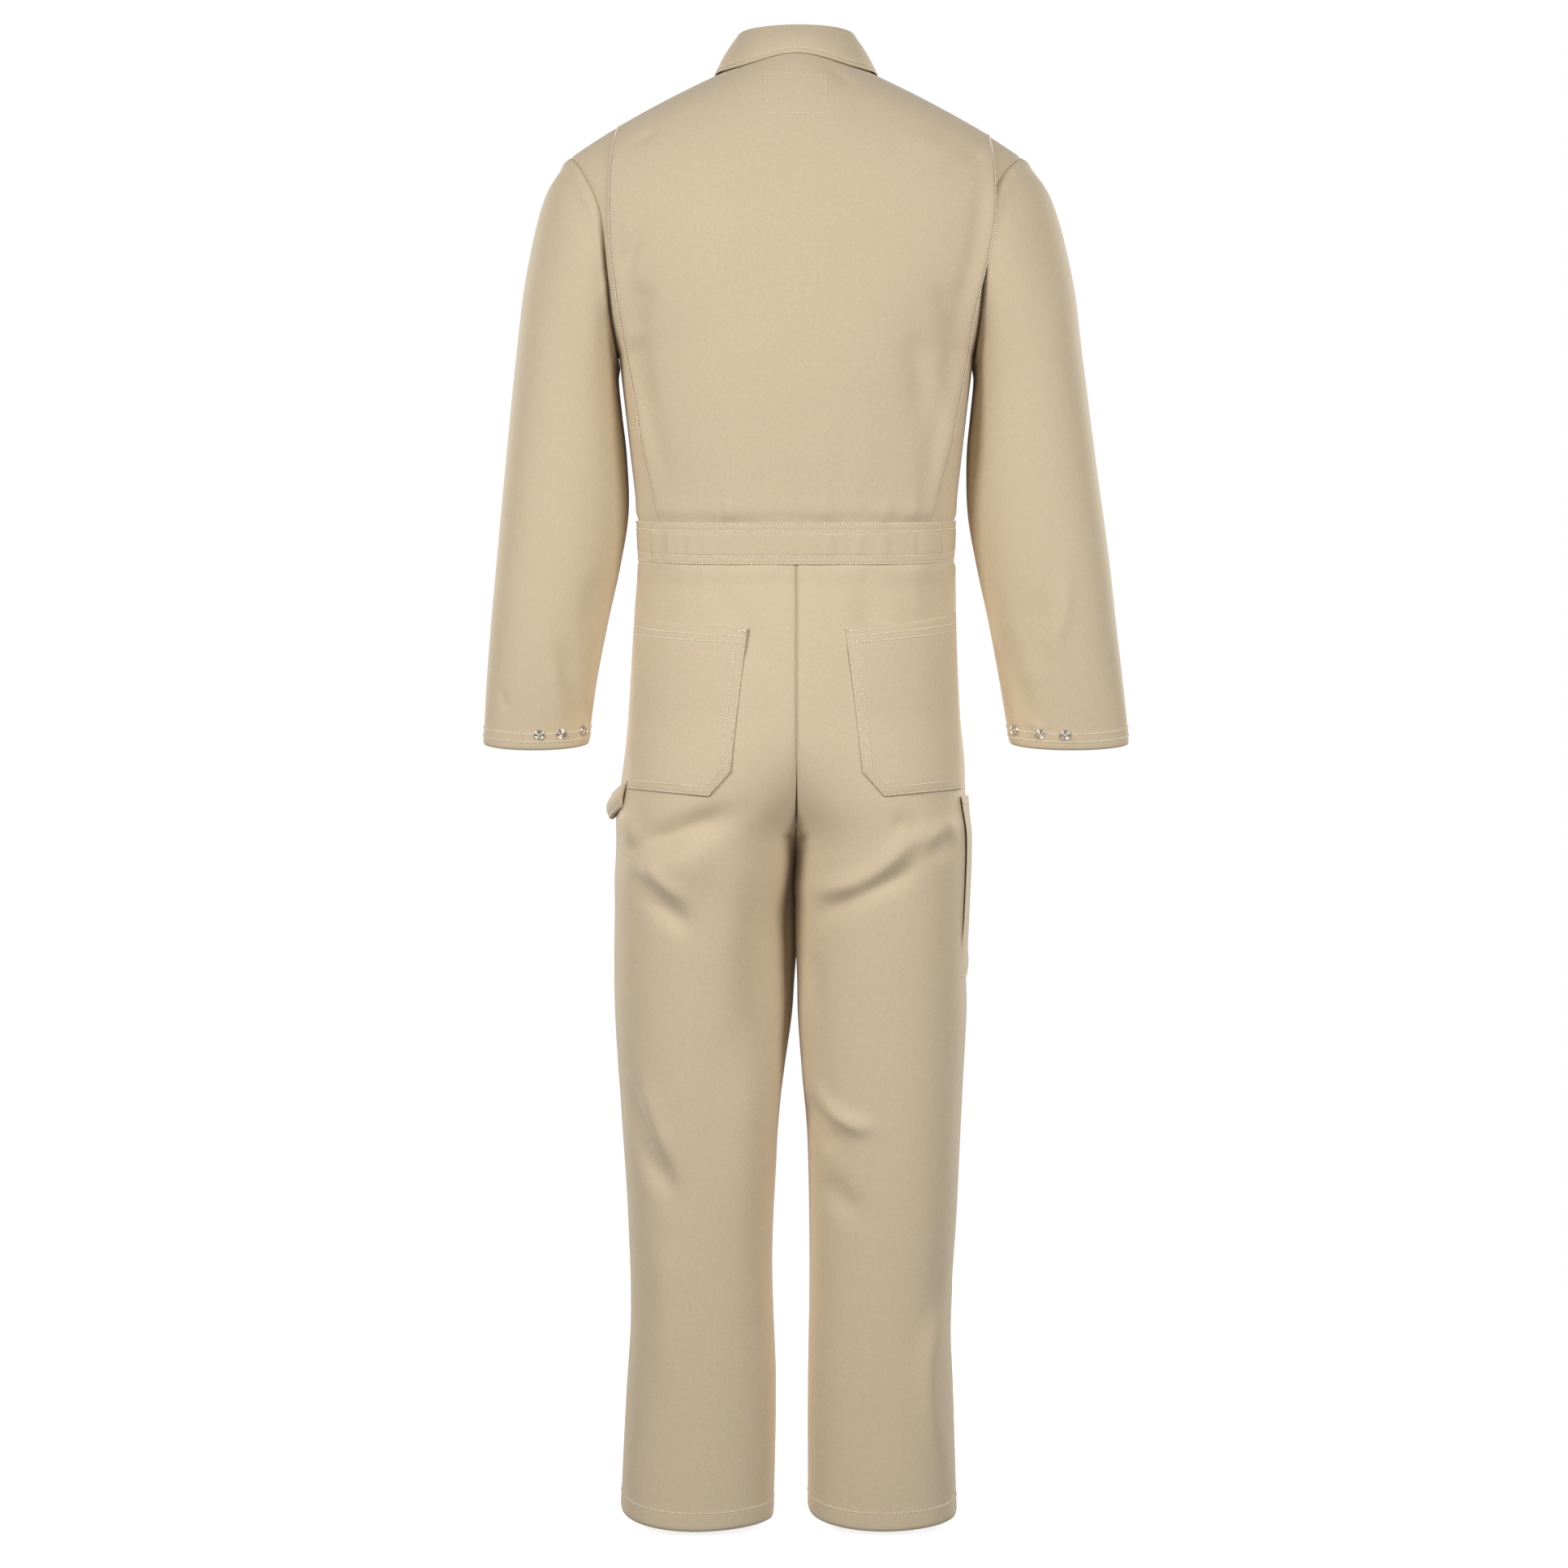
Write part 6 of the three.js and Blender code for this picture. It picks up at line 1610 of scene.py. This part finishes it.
def pierced_plate(name, outline, holes, y, thickness):
    """A flat plate with holes, from a filled curve."""
    curve = bpy.data.curves.new(name, "CURVE")
    curve.dimensions = "2D"
    curve.fill_mode = "BOTH"
    curve.extrude = thickness / 2000
    for loop in [outline] + holes:
        spline = curve.splines.new("POLY")
        spline.points.add(len(loop) - 1)
        for point, (x, z) in zip(spline.points, loop):
            point.co = (x / 1000, (z - NECK_Z) / 1000, 0, 1)
        spline.use_cyclic_u = True
    holder = bpy.data.objects.new(name + "_curve", curve)
    bpy.context.scene.collection.objects.link(holder)
    graph = bpy.context.evaluated_depsgraph_get()
    mesh = bpy.data.meshes.new_from_object(holder.evaluated_get(graph))
    bpy.data.objects.remove(holder)
    for vertex in mesh.vertices:
        x, z, depth = vertex.co
        vertex.co = (x, (y + thickness / 2) / 1000 - depth, z)
    mesh.name = name
    tidy_mesh(mesh)
    return mesh


def tidy_mesh(mesh):
    work = bmesh.new()
    work.from_mesh(mesh)
    bmesh.ops.remove_doubles(work, verts=work.verts, dist=1e-6)
    bmesh.ops.recalc_face_normals(work, faces=work.faces)
    work.to_mesh(mesh)
    work.free()


# ---- Snaps --------------------------------------------------------------------------------------
def turned(profile_points, centre, normal, segments=40):
    """A closed body turned from (radius, height) points, standing on centre along normal."""
    normal = unit(np.array(normal, float))
    helper = np.array([0, 0, 1.0]) if abs(normal[2]) < 0.9 else np.array([1.0, 0, 0])
    a = unit(np.cross(helper, normal))
    b = np.cross(normal, a)
    vertices, faces = [], []
    for r, h in profile_points:
        for k in range(segments):
            angle = 2 * math.pi * k / segments
            vertices.append(tuple(centre + (a * math.cos(angle) + b * math.sin(angle)) * max(r, 0.01) + normal * h))
    rings = len(profile_points)
    for i in range(rings - 1):
        for k in range(segments):
            n = (k + 1) % segments
            faces.append((i * segments + k, i * segments + n, (i + 1) * segments + n, (i + 1) * segments + k))
    faces.append(tuple(reversed(range(segments))))
    faces.append(tuple(range((rings - 1) * segments, rings * segments)))
    return vertices, faces


STUD = [(5.8, -0.2), (5.8, 0.55), (5.5, 1.0), (4.9, 1.25), (4.3, 1.1), (3.9, 0.75), (3.5, 0.7), (3.2, 0.9),
        (2.9, 1.9), (2.4, 2.25), (1.7, 2.2), (1.35, 1.9), (1.2, 1.2), (1.15, 0.6), (0.4, 0.5)]


def make_snaps():
    for side, word in SIDES:
        points = sleeve_cloth[side].points.reshape(-1, 3)
        normals = sleeve_cloth[side].normals.reshape(-1, 3)
        for number in range(1, CUFF_SNAPS + 1):
            low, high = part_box(f"cuff_snap_{word}_{number}")
            centre = (np.array(low) + np.array(high)) / 2 * 1000
            centre[2] += NECK_Z
            nearest = int(np.argmin(np.sum((points - centre) ** 2, axis=1)))
            normal = normals[nearest]
            base = points[nearest] + normal * SNAP_CLEARANCE
            snap_piece(f"cuff_stud_{word}_{number}", base, normal, f"cuff_snap_{word}_{number}", f"sleeve_{word}")
        base, normal = flap_front(side)
        snap_piece(f"flap_cap_{word}", base, normal, f"chest_flap_snap_{word}", f"chest_flap_{word}", CAP)


CAP = [(5.8, -0.2), (5.8, 0.5), (5.4, 0.95), (4.7, 1.15), (4.2, 0.95), (3.6, 1.05), (2.6, 1.5), (1.4, 1.75), (0.3, 1.8)]


def flap_front(side):
    """Where a flap's snap sits on it, and the way that it faces."""
    middle, normal = chest_at(side, TIP_Z - FLAP_DROP)
    middle = middle + normal * (PATCH_LIFT + FLAP_STAND + 0.5)
    return np.array([middle[0], middle[1], TIP_Z - FLAP_DROP - FLAP_SNAP_DROP]), normal


def snap_piece(name, base, normal, node, body, shape=STUD):
    vertices, faces = turned(shape, base, normal)
    mesh = mesh_from(name, place(np.array(vertices), hanging=False), faces)
    tidy_mesh(mesh)
    piece = new_object(name, mesh, finish_of("nickel-plated brass"))
    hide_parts(node)
    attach(piece, body)


# ---- Stage --------------------------------------------------------------------------------------
def make_stage():
    scene = bpy.context.scene
    white, tree = new_material("matt white paint")
    at = add_node(tree, "ShaderNodeTexCoord")
    speckle = add_node(tree, "ShaderNodeTexNoise", {"Scale": 60.0}, {"Vector": at.outputs["Object"]})
    bump = add_node(tree, "ShaderNodeBump", {"Strength": 0.02}, {"Height": speckle.outputs["Fac"]})
    finish_material(tree, add_node(tree, "ShaderNodeBsdfPrincipled", {
        "Base Color": (0.4, 0.4, 0.4, 1), "Roughness": 0.9, "Emission Color": (1, 1, 1, 1),
        "Emission Strength": 0.85}, {"Normal": bump.outputs["Normal"]}))
    z = CAD_BOX[0][2] - 0.006
    ring = [(1.9 * math.cos(a), 1.9 * math.sin(a), z) for a in np.linspace(0, 2 * math.pi, 97)[:-1]]
    mesh = mesh_from("floor", ring, [tuple(range(96))])
    floor = new_object("floor", mesh, white)
    floor.visible_diffuse = False
    floor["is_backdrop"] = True

    world = bpy.data.worlds.new("pale studio")
    scene.world = world
    world.use_nodes = True
    tree = world.node_tree
    tree.nodes.clear()
    rays = add_node(tree, "ShaderNodeLightPath")
    strength = add_node(tree, "ShaderNodeMapRange", {"To Min": 0.2, "To Max": 1.0},
                        {"Value": rays.outputs["Is Camera Ray"]})
    glow = add_node(tree, "ShaderNodeBackground", {"Color": (1, 1, 1, 1)}, {"Strength": strength.outputs["Result"]})
    add_node(tree, "ShaderNodeOutputWorld", links={"Surface": glow.outputs[0]})

    lights = (("key", (2.3, 2.4, 0.3), 1.2, 19.2), ("second key", (-2.3, 2.7, 0.3), 1.3, 18.8),
              ("front key", (-2.3, -2.5, 0.3), 1.2, 20), ("front second key", (2.3, -2.7, 0.3), 1.3, 18.5))
    target = Vector((0, 0, -0.72))
    for name, at, size, power in lights:
        data = bpy.data.lights.new(name, "AREA")
        data.size = size
        data.energy = power
        data.spread = math.radians(94)
        lamp = bpy.data.objects.new(name, data)
        lamp.location = at
        lamp.rotation_euler = (target - Vector(at)).to_track_quat("-Z", "Y").to_euler()
        scene.collection.objects.link(lamp)

    camera_data = bpy.data.cameras.new("camera")
    camera_data.lens = 66
    camera_data.sensor_width = 36
    camera = bpy.data.objects.new("camera", camera_data)
    camera.location = (0.0135, 3.2, -0.788)
    camera.rotation_euler = (math.pi / 2, 0, math.pi)
    scene.collection.objects.link(camera)
    scene.camera = camera
    scene.view_settings.view_transform = "Standard"


# ---- Add-on -------------------------------------------------------------------------------------
class CoverallSizes(bpy.types.PropertyGroup):
    stitch_pitch: FloatProperty(name="Stitch pitch", description="Distance from one stitch to the next",
                                default=0.0032, min=0.001, max=0.01, unit="LENGTH")
    thread_width: FloatProperty(name="Thread width", description="Width of the sewing thread as it lies on the cloth",
                                default=0.0013, min=0.0002, max=0.003, unit="LENGTH")
    tooth_pitch: FloatProperty(name="Tooth pitch", description="Distance from one zip tooth to the next on a tape",
                               default=0.0026, min=0.001, max=0.01, unit="LENGTH")
    cloth_thickness: FloatProperty(name="Cloth thickness", description="Thickness of one layer of the twill",
                                   default=CLOTH / 1000, min=0.0004, max=0.003, unit="LENGTH")


def colour_property(name, text, hex_colour):
    """A colour that the user can change, given as an sRGB hex value."""
    return FloatVectorProperty(name=name, description=text, subtype="COLOR", size=4, min=0, max=1,
                               default=linear(hex_colour))


class CoverallColours(bpy.types.PropertyGroup):
    twill: colour_property("Twill", "Colour of the cloth", "d6c4a6")
    thread: colour_property("Thread", "Colour of the sewing thread", "fcf3df")
    tape: colour_property("Zip tape", "Colour of the woven tapes of the zip", "c3b292")
    elastic: colour_property("Elastic", "Colour of the elastic inside the waistband", "e8e4da")
    label: colour_property("Label", "Colour of the label inside the neck", "f2efe8")
    brass: colour_property("Brass", "Colour of the zip's metal", "b08d4c")
    nickel: colour_property("Nickel", "Colour of the snaps' metal", "d8cfc0")


def step_operator(name, label, text, *steps):
    def execute(self, context):
        for step in steps:
            step()
        return {"FINISHED"}
    return type(f"COVERALL_OT_{name}", (bpy.types.Operator,), {
        "bl_idname": f"coverall.{name}", "bl_label": label, "__doc__": text, "execute": execute})


OPERATORS = [
    step_operator("stage", "Stage", "Adds the floor, the lights and the camera.", make_stage),
    step_operator("bodice", "Bodice", "Adds the back, side and front panels.", make_bodice),
    step_operator("sleeves", "Sleeves", "Adds both sleeves.", make_sleeves),
    step_operator("collar", "Collar", "Adds the collar's stand and leaf.", make_collar),
    step_operator("waistband", "Waistband", "Adds the waistband and its elastic.", make_waistband),
    step_operator("trousers", "Trousers", "Adds the trouser panels.", make_trousers),
    step_operator("pockets", "Pockets", "Adds the pockets, flaps, tool pocket and loop.",
                  make_back_pockets, make_side_pieces, make_hand_pockets, make_chest_pockets),
    step_operator("label", "Label", "Adds the label inside the neck.", make_label),
    step_operator("zip", "Zip", "Adds the zip with its sliders and pulls.", make_zip),
    step_operator("snaps", "Snaps", "Adds the snaps on the cuffs and flaps.", make_snaps),
    step_operator("stitches", "Stitches", "Adds every row of stitches.", make_stitches),
]


class VIEW3D_PT_coverall(bpy.types.Panel):
    """Lists the coverall's pieces"""
    bl_label = "Coverall"
    bl_space_type = "VIEW_3D"
    bl_region_type = "UI"
    bl_category = "Coverall"

    def draw(self, context):
        for operator in OPERATORS:
            self.layout.operator(operator.bl_idname)


CLASSES = [CoverallSizes, CoverallColours] + OPERATORS + [VIEW3D_PT_coverall]


def register():
    for item in CLASSES:
        bpy.utils.register_class(item)
    bpy.types.Scene.coverall_sizes = PointerProperty(type=CoverallSizes)
    bpy.types.Scene.coverall_colours = PointerProperty(type=CoverallColours)


def unregister():
    del bpy.types.Scene.coverall_sizes
    del bpy.types.Scene.coverall_colours
    for item in reversed(CLASSES):
        bpy.utils.unregister_class(item)


def main():
    register()
    for operator in OPERATORS:
        getattr(bpy.ops.coverall, operator.bl_idname.split(".")[1])()
    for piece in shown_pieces():
        if body_of(piece) is None:
            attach(piece, "root")


if __name__ == "__main__":
    main()
